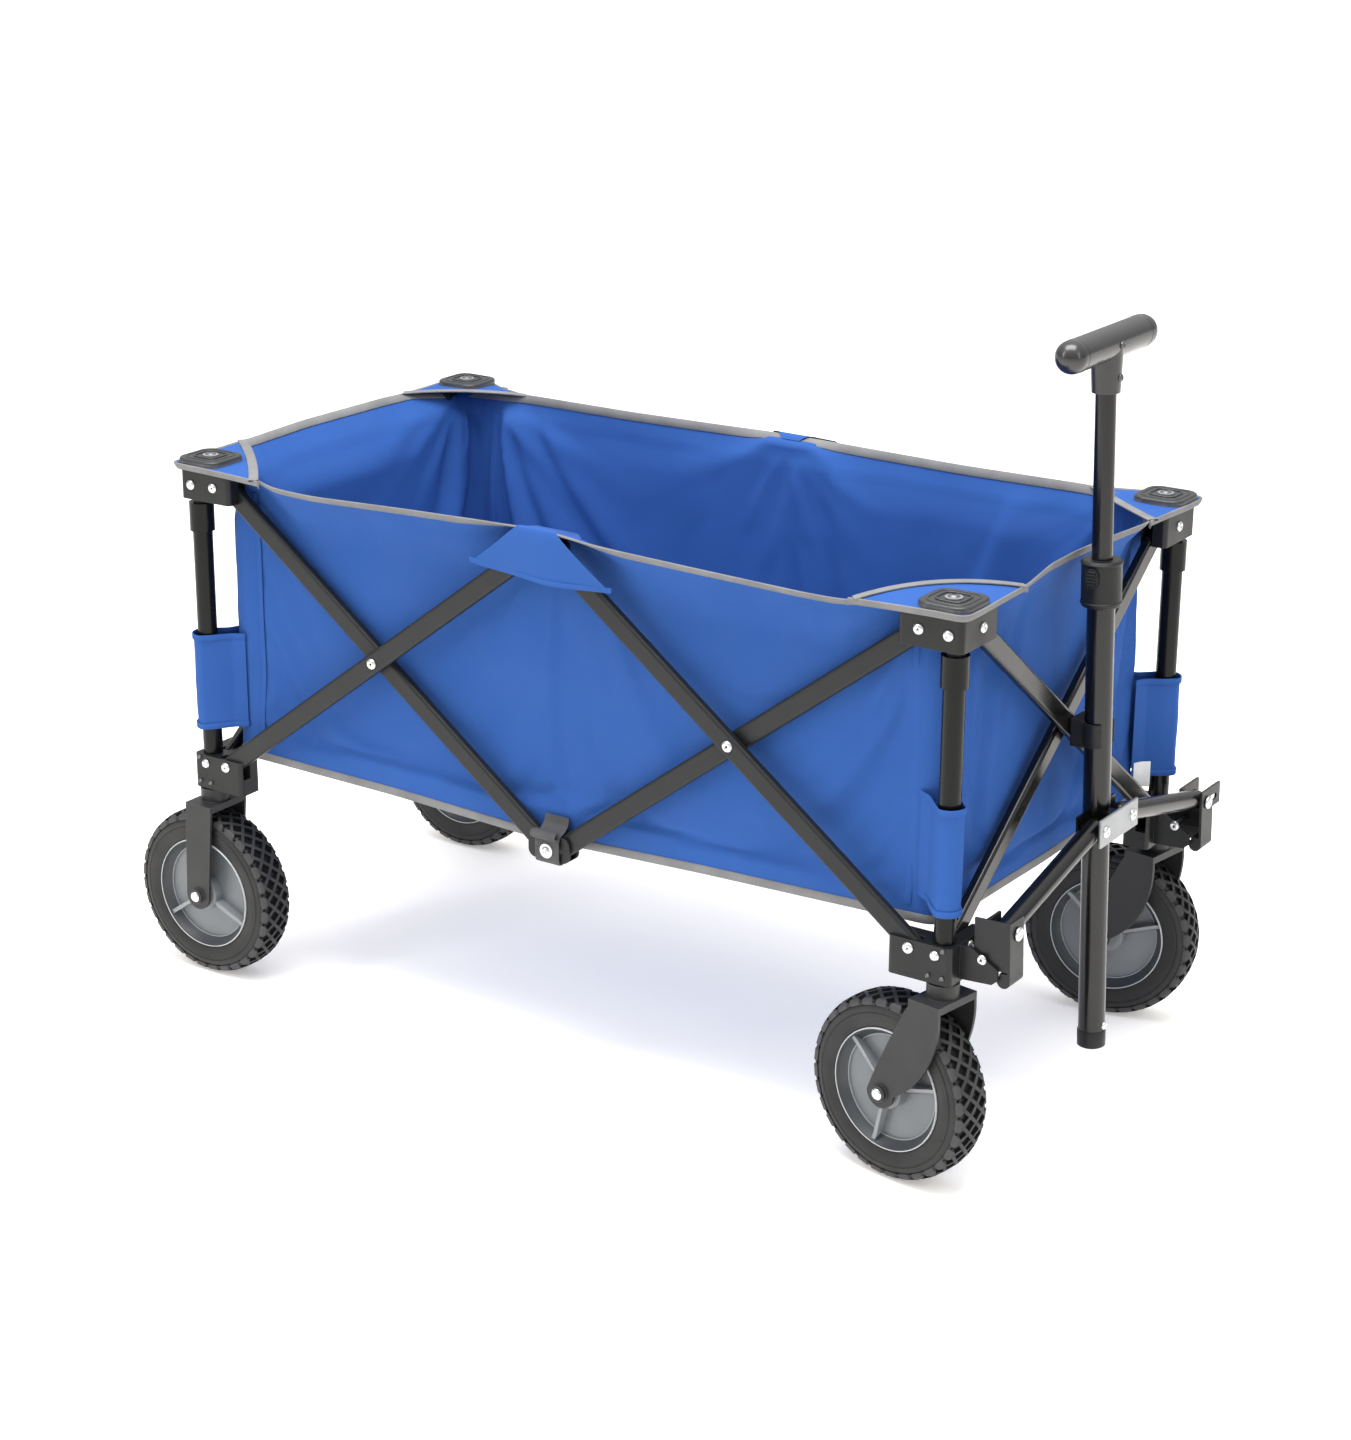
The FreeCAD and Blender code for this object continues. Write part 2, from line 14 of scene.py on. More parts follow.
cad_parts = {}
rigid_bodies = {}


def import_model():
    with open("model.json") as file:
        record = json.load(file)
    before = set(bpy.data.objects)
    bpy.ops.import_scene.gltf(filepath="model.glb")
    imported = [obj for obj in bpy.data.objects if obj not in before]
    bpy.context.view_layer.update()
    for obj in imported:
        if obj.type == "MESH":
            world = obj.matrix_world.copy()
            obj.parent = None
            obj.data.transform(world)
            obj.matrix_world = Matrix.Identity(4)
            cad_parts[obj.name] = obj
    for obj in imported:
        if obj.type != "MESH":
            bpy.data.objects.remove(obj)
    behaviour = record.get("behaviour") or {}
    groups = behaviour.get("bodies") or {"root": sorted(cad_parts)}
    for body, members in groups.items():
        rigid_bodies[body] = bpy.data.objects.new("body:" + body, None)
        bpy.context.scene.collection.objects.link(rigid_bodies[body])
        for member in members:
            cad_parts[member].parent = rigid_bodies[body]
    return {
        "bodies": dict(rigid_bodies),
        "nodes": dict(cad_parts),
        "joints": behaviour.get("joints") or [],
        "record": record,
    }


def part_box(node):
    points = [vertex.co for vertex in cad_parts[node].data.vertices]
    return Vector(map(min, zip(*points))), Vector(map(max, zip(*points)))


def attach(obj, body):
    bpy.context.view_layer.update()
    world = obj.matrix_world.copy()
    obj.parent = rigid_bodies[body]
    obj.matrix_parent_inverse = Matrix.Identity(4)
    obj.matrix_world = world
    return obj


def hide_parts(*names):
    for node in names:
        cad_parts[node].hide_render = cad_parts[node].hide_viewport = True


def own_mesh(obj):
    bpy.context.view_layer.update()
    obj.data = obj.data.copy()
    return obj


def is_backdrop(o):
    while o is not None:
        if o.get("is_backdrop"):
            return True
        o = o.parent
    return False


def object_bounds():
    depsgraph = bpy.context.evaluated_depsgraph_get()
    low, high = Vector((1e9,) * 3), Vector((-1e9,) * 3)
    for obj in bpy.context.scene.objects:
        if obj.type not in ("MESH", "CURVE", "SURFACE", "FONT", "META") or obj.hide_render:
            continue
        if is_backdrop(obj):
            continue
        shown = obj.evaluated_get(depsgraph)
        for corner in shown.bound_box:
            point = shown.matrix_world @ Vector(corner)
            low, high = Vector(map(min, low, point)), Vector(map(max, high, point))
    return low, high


LOG = logging.getLogger("wagon")
MM = 0.001

# The tub's plan, in metres: the middle of the four posts and the half spans to them.
MIDDLE_X = 0.016
POST_X, POST_Y = 0.430, 0.216
WALL_X, WALL_Y = 0.4142, 0.2002
RIM_Z, FLOOR_Z = 0.5465, 0.247
BINDING_WIDTH, BINDING_THICKNESS = 9.5 * MM, 1.8 * MM


class Slot(Enum):
    """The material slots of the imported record."""

    STEEL = "black_steel"
    GLOSS = "glossy_steel"
    NYLON = "black_plastic"
    HUB = "grey_plastic"
    CAP = "cap_plastic"
    TYRE = "tyre_rubber"
    CLOTH = "blue_fabric"
    GRIP = "grip_foam"


# ---------------------------------------------------------------- shading


def to_linear(hex_colour: str) -> tuple[float, float, float, float]:
    """Converts an sRGB hex colour to linear RGBA."""
    parts = [int(hex_colour[i : i + 2], 16) / 255 for i in (1, 3, 5)]
    red, green, blue = (c / 12.92 if c <= 0.04045 else ((c + 0.055) / 1.055) ** 2.4 for c in parts)
    return red, green, blue, 1.0


def add(tree: bpy.types.NodeTree, kind: str, links: dict | None = None, **settings) -> bpy.types.Node:
    """Adds one node to a tree.

    Args:
        tree: The node tree to add to.
        kind: The node's Blender type name.
        links: Input name or index to either a socket to link from or a value.
        **settings: Attributes of the node.

    Returns:
        The new node.
    """
    made = tree.nodes.new(kind)
    for key, value in settings.items():
        setattr(made, key, value)
    for key, value in (links or {}).items():
        if isinstance(value, bpy.types.NodeSocket):
            tree.links.new(value, made.inputs[key])
        else:
            made.inputs[key].default_value = value
    return made


@dataclass(frozen=True)
class Finish:
    """A surface with a plain colour, a fine relief and an uneven gloss.

    Attributes:
        name: The real material and how its surface was made.
        colour: sRGB hex of the base.
        roughness: The middle of the surface's roughness.
        grain_mm: Size of the fine relief.
        relief_mm: Depth of the fine relief.
        patch_mm: Size of the slow patches in colour and gloss.
        patch: How far the patches lighten or darken the base, as a share.
        metallic: 1 for bare metal.
        coat: Strength of a clear gloss over the base.
        edge_wear_and_highlight: sRGB hex painted on convex edges, partly as wear and partly as a painted highlight
            where the edges catch the light, or none.
        specular: Share of the usual reflection.
        edge_mm: Radius that its sharp edges are rounded to in the light.
    """

    name: str
    colour: str
    roughness: float
    grain_mm: float = 1.0
    relief_mm: float = 0.02
    patch_mm: float = 60.0
    patch: float = 0.08
    metallic: float = 0.0
    coat: float = 0.0
    edge_wear_and_highlight: str | None = None
    specular: float = 0.5
    edge_mm: float = 0.0

    def colour_socket(self, tree: bpy.types.NodeTree, place: bpy.types.NodeSocket) -> bpy.types.NodeSocket:
        """Returns the base colour with its slow patches, and its convex edges painted lighter, partly as wear and
        partly as a painted highlight.
        """
        patches = add(tree, "ShaderNodeTexNoise", {"Vector": place, "Scale": 1000 / self.patch_mm, "Detail": 3.0})
        shade = add(tree, "ShaderNodeMapRange", {"Value": patches.outputs["Fac"], "From Min": 0.3, "From Max": 0.7,
                                                 "To Min": 1 - self.patch, "To Max": 1 + self.patch})
        mixed = add(tree, "ShaderNodeVectorMath", {0: to_linear(self.colour)[:3], "Scale": shade.outputs[0]},
                    operation="SCALE")
        if self.edge_wear_and_highlight is None:
            return mixed.outputs["Vector"]
        surface = add(tree, "ShaderNodeNewGeometry")
        # Along the rounded edges the lighter tint is a painted highlight; along pointy edges it marks wear.
        if self.edge_mm:
            agrees = add(tree, "ShaderNodeVectorMath", {0: self.rounded(tree), 1: surface.outputs["Normal"]},
                         operation="DOT_PRODUCT").outputs["Value"]
            edge = add(tree, "ShaderNodeMapRange", {"Value": agrees, "From Min": 0.99, "From Max": 0.80, "To Max": 0.8})
        else:
            edge = add(tree, "ShaderNodeMapRange", {"Value": surface.outputs["Pointiness"], "From Min": 0.52,
                                                    "From Max": 0.60, "To Max": 0.8})
        edge_wear_and_highlight = add(tree, "ShaderNodeMix", {"Factor": edge.outputs[0], 6: mixed.outputs["Vector"],
                                           7: to_linear(self.edge_wear_and_highlight)}, data_type="RGBA")
        return edge_wear_and_highlight.outputs[2]

    def rounded(self, tree: bpy.types.NodeTree) -> bpy.types.NodeSocket:
        """Returns the surface normal as if sharp edges were rounded."""
        return add(tree, "ShaderNodeBevel", {"Radius": self.edge_mm * MM}, samples=4).outputs["Normal"]

    def relief_socket(self, tree: bpy.types.NodeTree, place: bpy.types.NodeSocket) -> bpy.types.NodeSocket:
        """Returns the surface normal with the fine relief and the rounded edges."""
        grain = add(tree, "ShaderNodeTexNoise", {"Vector": place, "Scale": 1000 / self.grain_mm, "Detail": 2.0})
        rounded = {"Normal": self.rounded(tree)} if self.edge_mm else {}
        bump = add(tree, "ShaderNodeBump", {"Height": grain.outputs["Fac"], "Distance": self.relief_mm * MM,
                                            "Strength": 0.6, **rounded})
        return bump.outputs[0]

    def build(self) -> bpy.types.Material:
        """Makes the material."""
        made = bpy.data.materials.new(self.name)
        made.use_nodes = True
        tree = made.node_tree
        tree.nodes.clear()
        place = add(tree, "ShaderNodeTexCoord").outputs["Object"]
        gloss = add(tree, "ShaderNodeTexNoise", {"Vector": place, "Scale": 1000 / self.patch_mm * 2.3, "Detail": 4.0})
        rough = add(tree, "ShaderNodeMapRange", {"Value": gloss.outputs["Fac"], "From Min": 0.3, "From Max": 0.7,
                                                 "To Min": self.roughness * 0.85, "To Max": self.roughness * 1.15})
        shader = add(tree, "ShaderNodeBsdfPrincipled", {
            "Base Color": self.colour_socket(tree, place), "Roughness": rough.outputs[0], "Metallic": self.metallic,
            "Normal": self.relief_socket(tree, place), "Coat Weight": self.coat, "Coat Roughness": 0.12,
            "Specular IOR Level": self.specular,
        })
        add(tree, "ShaderNodeOutputMaterial", {"Surface": shader.outputs[0]})
        return made


@dataclass(frozen=True)
class Woven(Finish):
    """A plain-weave cloth, drawn over the piece's own cloth coordinates in metres.

    Attributes:
        thread_mm: Distance between threads.
        ribbed: True for a binding tape, whose ribs run across it.
        back: sRGB hex painted on the back faces, a tone that stands in for the light inside the tub, or none.
    """

    thread_mm: float = 1.1
    ribbed: bool = False
    back: str | None = None

    def threads(self, tree: bpy.types.NodeTree) -> tuple[bpy.types.NodeSocket, bpy.types.NodeSocket]:
        """Returns the height of the threads that run along and across the cloth."""
        cloth = add(tree, "ShaderNodeUVMap", uv_map="cloth").outputs["UV"]
        split = add(tree, "ShaderNodeSeparateXYZ", {"Vector": cloth})
        waves = []
        for axis in ("X", "Y"):
            turned = add(tree, "ShaderNodeMath", {0: split.outputs[axis], 1: math.tau / (self.thread_mm * MM)},
                         operation="MULTIPLY")
            waves.append(add(tree, "ShaderNodeMath", {0: turned.outputs[0]}, operation="SINE").outputs[0])
        return waves[0], waves[1]

    def relief_socket(self, tree: bpy.types.NodeTree, place: bpy.types.NodeSocket) -> bpy.types.NodeSocket:
        """Returns the surface normal with the weave, and with slubs where a thread is thicker."""
        warp, weft = self.threads(tree)
        kind = "ADD" if self.ribbed else "MULTIPLY"
        weave = add(tree, "ShaderNodeMath", {0: warp, 1: 0.0 if self.ribbed else weft}, operation=kind)
        slubs = add(tree, "ShaderNodeTexNoise", {"Vector": place, "Scale": 1000 / self.grain_mm, "Detail": 3.0})
        height = add(tree, "ShaderNodeMath", {0: weave.outputs[0], 1: 0.25, 2: slubs.outputs["Fac"]},
                     operation="MULTIPLY_ADD")
        bump = add(tree, "ShaderNodeBump", {"Height": height.outputs[0], "Distance": self.relief_mm * MM,
                                            "Strength": 0.7})
        return bump.outputs[0]

    def colour_socket(self, tree: bpy.types.NodeTree, place: bpy.types.NodeSocket) -> bpy.types.NodeSocket:
        """Returns the dyed colour, a little darker between threads."""
        base = super().colour_socket(tree, place)
        warp, weft = self.threads(tree)
        weave = add(tree, "ShaderNodeMath", {0: warp, 1: 0.06, 2: 1.0}, operation="MULTIPLY_ADD")
        if not self.ribbed:
            crossed = add(tree, "ShaderNodeMath", {0: warp, 1: weft}, operation="MULTIPLY")
            weave = add(tree, "ShaderNodeMath", {0: crossed.outputs[0], 1: 0.035, 2: 1.0}, operation="MULTIPLY_ADD")
        mixed = add(tree, "ShaderNodeVectorMath", {0: base, "Scale": weave.outputs[0]}, operation="SCALE")
        if self.back is None:
            return mixed.outputs["Vector"]
        # The back faces take a painted tone in place of the light inside the tub.
        side = add(tree, "ShaderNodeNewGeometry").outputs["Backfacing"]
        return add(tree, "ShaderNodeMix", {"Factor": side, 6: mixed.outputs["Vector"], 7: to_linear(self.back)},
                   data_type="RGBA").outputs[2]


# Bars and brackets: sprayed powder that flowed into a satin skin, thin where an edge is convex; those edges are painted
# a shade lighter as a highlight.
POWDER = Finish("steel_satin_powder_coat", "#1f2021", 0.38, grain_mm=0.9, relief_mm=0.04, patch=0.05, edge_wear_and_highlight="#5a5a5d",
                specular=0.25, edge_mm=0.8)
# Posts: the same powder on drawn tube, smoother, so a light draws a narrow line down it; its base is painted darker
# than the bars' as shade.
POST_COAT_SHADED = Finish("steel_powder_coat_on_drawn_tube_painted_shade", "#0c0c0d", 0.25, grain_mm=1.5, relief_mm=0.02, patch=0.04,
                   specular=0.20)
# Forks: a heavier coat on pressed plate, with a faint orange peel; its convex edges are painted a shade lighter as a
# highlight.
FORK_COAT = Finish("steel_satin_powder_coat_heavy", "#29292a", 0.42, grain_mm=1.1, relief_mm=0.05, patch=0.06,
                   edge_wear_and_highlight="#5c5b5d", specular=0.30, edge_mm=0.8)
# Handle and yoke tubes: gloss enamel with deep darks and sharp streaks of light.
GLOSS = Finish("steel_gloss_powder_coat", "#0b0b0c", 0.22, grain_mm=2.5, relief_mm=0.02, patch=0.04, coat=0.10,
               specular=0.4)
# Collars and clips: moulded against a spark-eroded tool, which leaves a fine even grain; their convex edges are painted
# a shade lighter as a highlight.
MOULDED = Finish("nylon_moulded_fine_spark_texture", "#171819", 0.42, grain_mm=0.7, relief_mm=0.05, patch=0.05,
                 edge_wear_and_highlight="#4a4b4e", specular=0.30, edge_mm=0.6)
CAP = Finish("nylon_cap_moulded", "#26272a", 0.38, grain_mm=0.6, relief_mm=0.05, edge_wear_and_highlight="#8a8a8d")
# Tyres: moulded rubber. The rib tops are painted paler as a highlight, and the pits between them are painted near black
# as shade.
RUBBER = Finish("rubber_tyre_moulded", "#121213", 0.52, grain_mm=0.8, relief_mm=0.06, patch=0.10, edge_wear_and_highlight="#3a3a3c",
                specular=0.4)
RIB_TOPS_HIGHLIGHT = Finish("rubber_rib_tops_painted_highlight", "#2b2b2d", 0.62, grain_mm=0.9, relief_mm=0.08, patch_mm=14, patch=0.3,
                 specular=0.4)
PITS_SHADE = Finish("rubber_pits_shaded", "#070708", 0.7, relief_mm=0.03, specular=0.2)
# Hubs: grey polypropylene, off one tool. The dish is satin, the drafted flange is painted darker as shade, and the edge
# is painted bright as a highlight.
HUB = Finish("polypropylene_hub_moulded", "#6a6e72", 0.34, grain_mm=1.2, relief_mm=0.03, patch=0.12)
HUB_FLANGE_SHADE = Finish("polypropylene_hub_flange_painted_shade", "#3c3f43", 0.42, relief_mm=0.03, specular=0.35)
HUB_RIB = Finish("polypropylene_hub_rib", "#85888c", 0.38, relief_mm=0.02, edge_wear_and_highlight="#c9cbcd")
HUB_RIM_HIGHLIGHT = Finish("polypropylene_hub_edge_painted_highlight", "#b4b7b9", 0.28, relief_mm=0.01)
# Plated parts: bright zinc, whose crystals make the gloss patchy.
ZINC = Finish("steel_zinc_plated_rivet", "#cfd0d2", 0.30, grain_mm=0.6, relief_mm=0.04, patch=0.12, metallic=1.0)
ZINC_PLATE = Finish("steel_zinc_plated_sheet", "#85878b", 0.42, grain_mm=0.8, relief_mm=0.03, patch=0.1,
                    metallic=0.85, edge_wear_and_highlight="#a6a8aa")
DARK_SCREW = Finish("steel_black_oxide_screw", "#1b1b1d", 0.35, relief_mm=0.02, metallic=0.6, edge_wear_and_highlight="#8f9093")
SOFT_GRIP = Finish("soft_touch_grip_moulded", "#1c1c1e", 0.30, grain_mm=1.0, relief_mm=0.03, patch=0.05, coat=0.35)
# Tub cloth: dyed plain weave. Its slubs break the light up into a dry, matt blue.
# The real threads are half as far apart; a wider pitch is what the eye can still tell at arm's length.
POLYESTER = Woven("polyester_600_denier_woven", "#2d5396", 0.78, grain_mm=5.0, relief_mm=0.16, patch_mm=120,
                  patch=0.04, specular=0.12, thread_mm=1.1)
# Binding: ribbed tape, folded over each raw edge; its ribs give the edge a pale, toothed line.
BINDING = Woven("polypropylene_binding_tape_ribbed", "#767677", 0.8, grain_mm=2.0, relief_mm=0.25, patch_mm=30,
                patch=0.12, specular=0.2, thread_mm=1.6, ribbed=True)
# Hinge tabs: grey webbing like the binding, painted darker as shade where it sits under the tub.
WEBBING_SHADED = Woven("polypropylene_webbing_painted_shade", "#4c4c4e", 0.75, grain_mm=2.0, relief_mm=0.25, patch_mm=30, patch=0.15,
                specular=0.25, thread_mm=1.8, ribbed=True)
HOOK_TAPE = Woven("nylon_hook_tape_white", "#e6e7e6", 0.85, grain_mm=1.0, relief_mm=0.3, patch_mm=20, thread_mm=1.5)


class Palette:
    """Every material, made once and shared by name."""

    made: dict[str, bpy.types.Material] = {}

    @classmethod
    def get(cls, finish: Finish) -> bpy.types.Material:
        """Returns the material of a finish, and makes it the first time."""
        if finish.name not in cls.made:
            cls.made[finish.name] = finish.build()
        return cls.made[finish.name]


# ---------------------------------------------------------------- mesh building

Array = np.ndarray


def mesh_object(name: str, points: Array, faces: Sequence, finish: Finish, smooth: float = 35.0,
                cloth: Array | None = None) -> bpy.types.Object:
    """Makes a mesh object in the row frame.

    Args:
        name: The piece's name.
        points: Corner positions, n by 3, in metres.
        faces: Corner indices of each face.
        finish: What it is made of.
        smooth: Edges sharper than this many degrees stay sharp.
        cloth: Flat cloth coordinates of each corner in metres, n by 2.

    Returns:
        The object, linked to the scene.
    """
    data = bpy.data.meshes.new(name)
    data.from_pydata([tuple(p) for p in np.asarray(points, float).round(6)], [], [tuple(map(int, f)) for f in faces])
    if cloth is not None:
        corners = np.empty(len(data.loops), np.int32)
        data.loops.foreach_get("vertex_index", corners)
        data.uv_layers.new(name="cloth").data.foreach_set("uv", np.asarray(cloth, np.float32)[corners].ravel())
    data.materials.append(Palette.get(finish))
    data.shade_smooth()
    data.set_sharp_from_angle(angle=math.radians(smooth))
    made = bpy.data.objects.new(name, data)
    bpy.context.scene.collection.objects.link(made)
    return made


def grid_faces(rows: int, columns: int, wrap: bool = False) -> list[tuple[int, int, int, int]]:
    """Returns the quads of a rows by columns grid, whose columns can close into a ring."""
    last = columns if wrap else columns - 1
    return [(r * columns + c, r * columns + (c + 1) % columns, (r + 1) * columns + (c + 1) % columns,
             (r + 1) * columns + c) for r in range(rows - 1) for c in range(last)]


def lengths(points: Array) -> Array:
    """Returns how far along a line of points each one is."""
    return np.concatenate([[0], np.cumsum(np.linalg.norm(np.diff(points, axis=0), axis=1))])


def resampled(points: Sequence, step: float) -> Array:
    """Returns a smooth line through the points, with a corner every step metres."""
    points = np.asarray(points, float)
    at = lengths(points)
    count = max(3, int(at[-1] / step) + 1)
    fine = np.linspace(0, at[-1], count)
    return np.stack([np.interp(fine, at, points[:, i]) for i in range(3)], 1)


def ribbon(name: str, path: Array, across: Array, finish: Finish, width: float, thickness: float,
           belly: float = 0.0) -> bpy.types.Object:
    """Makes a flat tape that follows a line.

    Args:
        name: The piece's name.
        path: The middle of one long edge of the tape, n by 3.
        across: The direction of the tape's width, one vector or one for each point.
        finish: What it is made of.
        width: Width in metres.
        thickness: Thickness in metres.
        belly: How much thicker the tape is in its middle, as where it wraps an edge.

    Returns:
        The tape as a closed mesh.
    """
    path = np.asarray(path, float)
    across = np.broadcast_to(np.asarray(across, float), path.shape)
    across = across / np.linalg.norm(across, axis=1, keepdims=True)
    tangent = np.gradient(path, axis=0)
    tangent /= np.linalg.norm(tangent, axis=1, keepdims=True)
    normal = np.cross(tangent, across)
    normal /= np.linalg.norm(normal, axis=1, keepdims=True)
    section = [(0.0, 0.25), (0.06, 0.5), (0.5, 0.5 + belly), (0.94, 0.5), (1.0, 0.25),
               (1.0, -0.25), (0.94, -0.5), (0.5, -0.5 - belly), (0.06, -0.5), (0.0, -0.25)]
    rings = [path + across * (a * width) + normal * (t * thickness) for a, t in section]
    points = np.stack(rings, 1)
    count, ring = points.shape[:2]
    run = lengths(path)
    around = np.array([0, 0.1, 0.5, 0.9, 1, 1, 0.9, 0.5, 0.1, 0]) * width
    cloth = np.stack([np.repeat(run, ring), np.tile(around, count)], 1)
    faces = grid_faces(count, ring, wrap=True)
    faces += [tuple(range(ring))[::-1], tuple((count - 1) * ring + i for i in range(ring))]
    return mesh_object(name, points.reshape(-1, 3), faces, finish, smooth=50, cloth=cloth)


def turned(name: str, outline: Sequence[tuple[float, float]], base: Vector, axis: Vector, finish: Finish,
           segments: int = 24, smooth: float = 35.0) -> bpy.types.Object:
    """Makes a solid of revolution.

    Args:
        name: The piece's name.
        outline: Pairs of height along the axis and radius, in metres. A radius of 0 closes an end.
        base: Where the axis starts.
        axis: The axis' direction.
        finish: What it is made of.
        segments: Sides around.
        smooth: Edges sharper than this many degrees stay sharp.

    Returns:
        The turned object.
    """
    turn = Vector((0, 0, 1)).rotation_difference(axis).to_matrix()
    angles = np.linspace(0, math.tau, segments, endpoint=False)
    rings = [[(r * math.cos(a), r * math.sin(a), h) for a in angles] for h, r in outline]
    points = np.array(rings).reshape(-1, 3) @ np.array(turn).T + np.array(base)
    return mesh_object(name, points, grid_faces(len(outline), segments, wrap=True), finish, smooth)


def joined(name: str, pieces: Sequence[bpy.types.Object]) -> bpy.types.Object:
    """Joins mesh objects into one with that name."""
    with bpy.context.temp_override(active_object=pieces[0], selected_editable_objects=list(pieces)):
        bpy.ops.object.join()
    pieces[0].name = name
    return pieces[0]


def box_mesh(name: str, low: Vector, high: Vector, finish: Finish, bevel: float = 0.6 * MM) -> bpy.types.Object:
    """Makes a box between two corners with rounded edges."""
    corners = np.array([(x, y, z) for z in (low[2], high[2]) for y in (low[1], high[1]) for x in (low[0], high[0])])
    faces = [(0, 2, 3, 1), (4, 5, 7, 6), (0, 1, 5, 4), (2, 6, 7, 3), (0, 4, 6, 2), (1, 3, 7, 5)]
    made = mesh_object(name, corners, faces, finish, 40)
    return bevelled(made, bevel)


def bevelled(made: bpy.types.Object, width: float, segments: int = 2) -> bpy.types.Object:
    """Rounds an object's sharp edges and applies it."""
    rounding = made.modifiers.new("edges", "BEVEL")
    rounding.width, rounding.segments, rounding.limit_method = width, segments, "ANGLE"
    return applied(made)


def applied(made: bpy.types.Object) -> bpy.types.Object:
    """Replaces an object's mesh with what its modifiers make of it."""
    graph = bpy.context.evaluated_depsgraph_get()
    data = bpy.data.meshes.new_from_object(made.evaluated_get(graph))
    made.modifiers.clear()
    made.data = data
    return made


def hung(made: bpy.types.Object, held: Array, outward: Array, slack: float, inwards: float, outwards: float,
         frames: int = 14) -> None:
    """Lets a cloth hang between its held corners by simulation, and keeps the shape that it settles into.

    Args:
        made: The cloth.
        held: True for each mesh corner that is sewn fast.
        outward: The direction away from the tub at each corner, n by 3.
        slack: How much larger than its place the cloth is cut, as a share.
        inwards: The furthest that a corner may move into the tub, in metres.
        outwards: The furthest that it may move out of it.
        frames: Steps of the simulation.
    """
    made.vertex_groups.new(name="held").add(np.flatnonzero(held).tolist(), 1.0, "REPLACE")
    cloth = made.modifiers.new("hang", "CLOTH")
    cloth.point_cache.frame_start, cloth.point_cache.frame_end = 1, frames
    settings = cloth.settings
    settings.vertex_group_mass, settings.shrink_min, settings.quality = "held", -slack, 6
    settings.mass, settings.air_damping, settings.bending_stiffness = 0.25, 4.0, 1.2
    settings.tension_stiffness = settings.compression_stiffness = settings.shear_stiffness = 12
    start = np.empty(len(made.data.vertices) * 3)
    made.data.vertices.foreach_get("co", start)
    for frame in range(1, frames + 1):
        bpy.context.scene.frame_set(frame)
    fallen = np.empty_like(start)
    made.evaluated_get(bpy.context.evaluated_depsgraph_get()).data.vertices.foreach_get("co", fallen)
    made.modifiers.clear()
    made.vertex_groups.clear()
    bpy.context.scene.frame_set(1)
    moved = (fallen - start).reshape(-1, 3)
    out = np.sum(moved * outward, axis=1)
    moved = np.clip(moved - outward * out[:, None], -0.002, 0.002) + outward * np.clip(out, -inwards, outwards)[:, None]
    made.data.vertices.foreach_set("co", start + moved.ravel())
    made.data.update()
    LOG.info("%s: hung, moved %.1f mm at most", made.name, np.abs(moved).max() / MM)


# ---------------------------------------------------------------- the wagon's layout


class End(Enum):
    """The two ends of the wagon."""

    REAR = "rear"
    FRONT = "front"

    @property
    def sign(self) -> int:
        """Direction of this end along X."""
        return -1 if self is End.REAR else 1


class Side(Enum):
    """The two long sides of the wagon."""

    RIGHT = "right"
    LEFT = "left"

    @property
    def sign(self) -> int:
        """Direction of this side along Y."""
        return -1 if self is Side.RIGHT else 1


@dataclass(frozen=True)
class Corner:
    """One corner post, with places counted inwards from the post's axis."""

    end: End
    side: Side

    @property
    def name(self) -> str:
        """The corner's name in node and body names."""
        return f"{self.end.value}_{self.side.value}"

    def at(self, u: float, v: float, z: float) -> Vector:
        """Returns the point u inwards along X and v inwards along Y, in metres."""
        return Vector((MIDDLE_X + self.end.sign * (POST_X - u), self.side.sign * (POST_Y - v), z))


CORNERS = tuple(Corner(end, side) for end in End for side in Side)


def smooth_step(value: Array, low: float, high: float) -> Array:
    """Returns 0 below low, 1 above high and a smooth rise between."""
    t = np.clip((np.asarray(value, float) - low) / (high - low), 0, 1)
    return t * t * (3 - 2 * t)


def curve_through(x: Array, knots: Sequence[tuple[float, float]]) -> Array:
    """Returns a smooth curve through (place, value) knots, eased between them."""
    places, values = np.array(knots).T
    fine = np.linspace(places[0], places[-1], 400)
    rough = np.interp(fine, places, values)
    kernel = np.hanning(31)
    padded = np.pad(rough, 15, mode="edge")
    return np.interp(x, fine, np.convolve(padded, kernel / kernel.sum(), "valid"))


def field_noise(points: Array, size: float, seed: float) -> Array:
    """Returns smooth noise from -1 to 1 at each point, with features of that size in metres."""
    return np.array([noise.noise(Vector(p) / size + Vector((seed, 2 * seed, 0))) for p in points])


@dataclass(frozen=True)
class Crease:
    """A soft fold along a bowed line on a wall.

    Attributes:
        start: Where it starts, as place along the wall and height.
        end: Where it ends.
        depth: How far it stands inwards, in metres.
        width: Its half width on the gentle side. The steep side is about half of it.
        bow: How far the line's middle is off straight.
    """

    start: tuple[float, float]
    end: tuple[float, float]
    depth: float
    width: float
    bow: float = 0.0

    def at(self, place: Array, height: Array) -> Array:
        """Returns how far the cloth is moved inwards at each point."""
        run = np.array(self.end) - np.array(self.start)
        length = np.linalg.norm(run)
        along = ((place - self.start[0]) * run[0] + (height - self.start[1]) * run[1]) / length**2
        off = ((height - self.start[1]) * run[0] - (place - self.start[0]) * run[1]) / length
        off = off - self.bow * 4 * along * (1 - along)
        spread = 0.6 + 0.6 * np.clip(along, 0, 1)
        gentle = np.exp(-((off / (self.width * spread)) ** 2))
        steep = 1 - smooth_step(-off, 0, 0.55 * self.width * spread)
        fade = smooth_step(along, -0.15, 0.2) * (1 - smooth_step(along, 0.8, 1.08))
        return self.depth * fade * np.where(off > 0, gentle, steep)


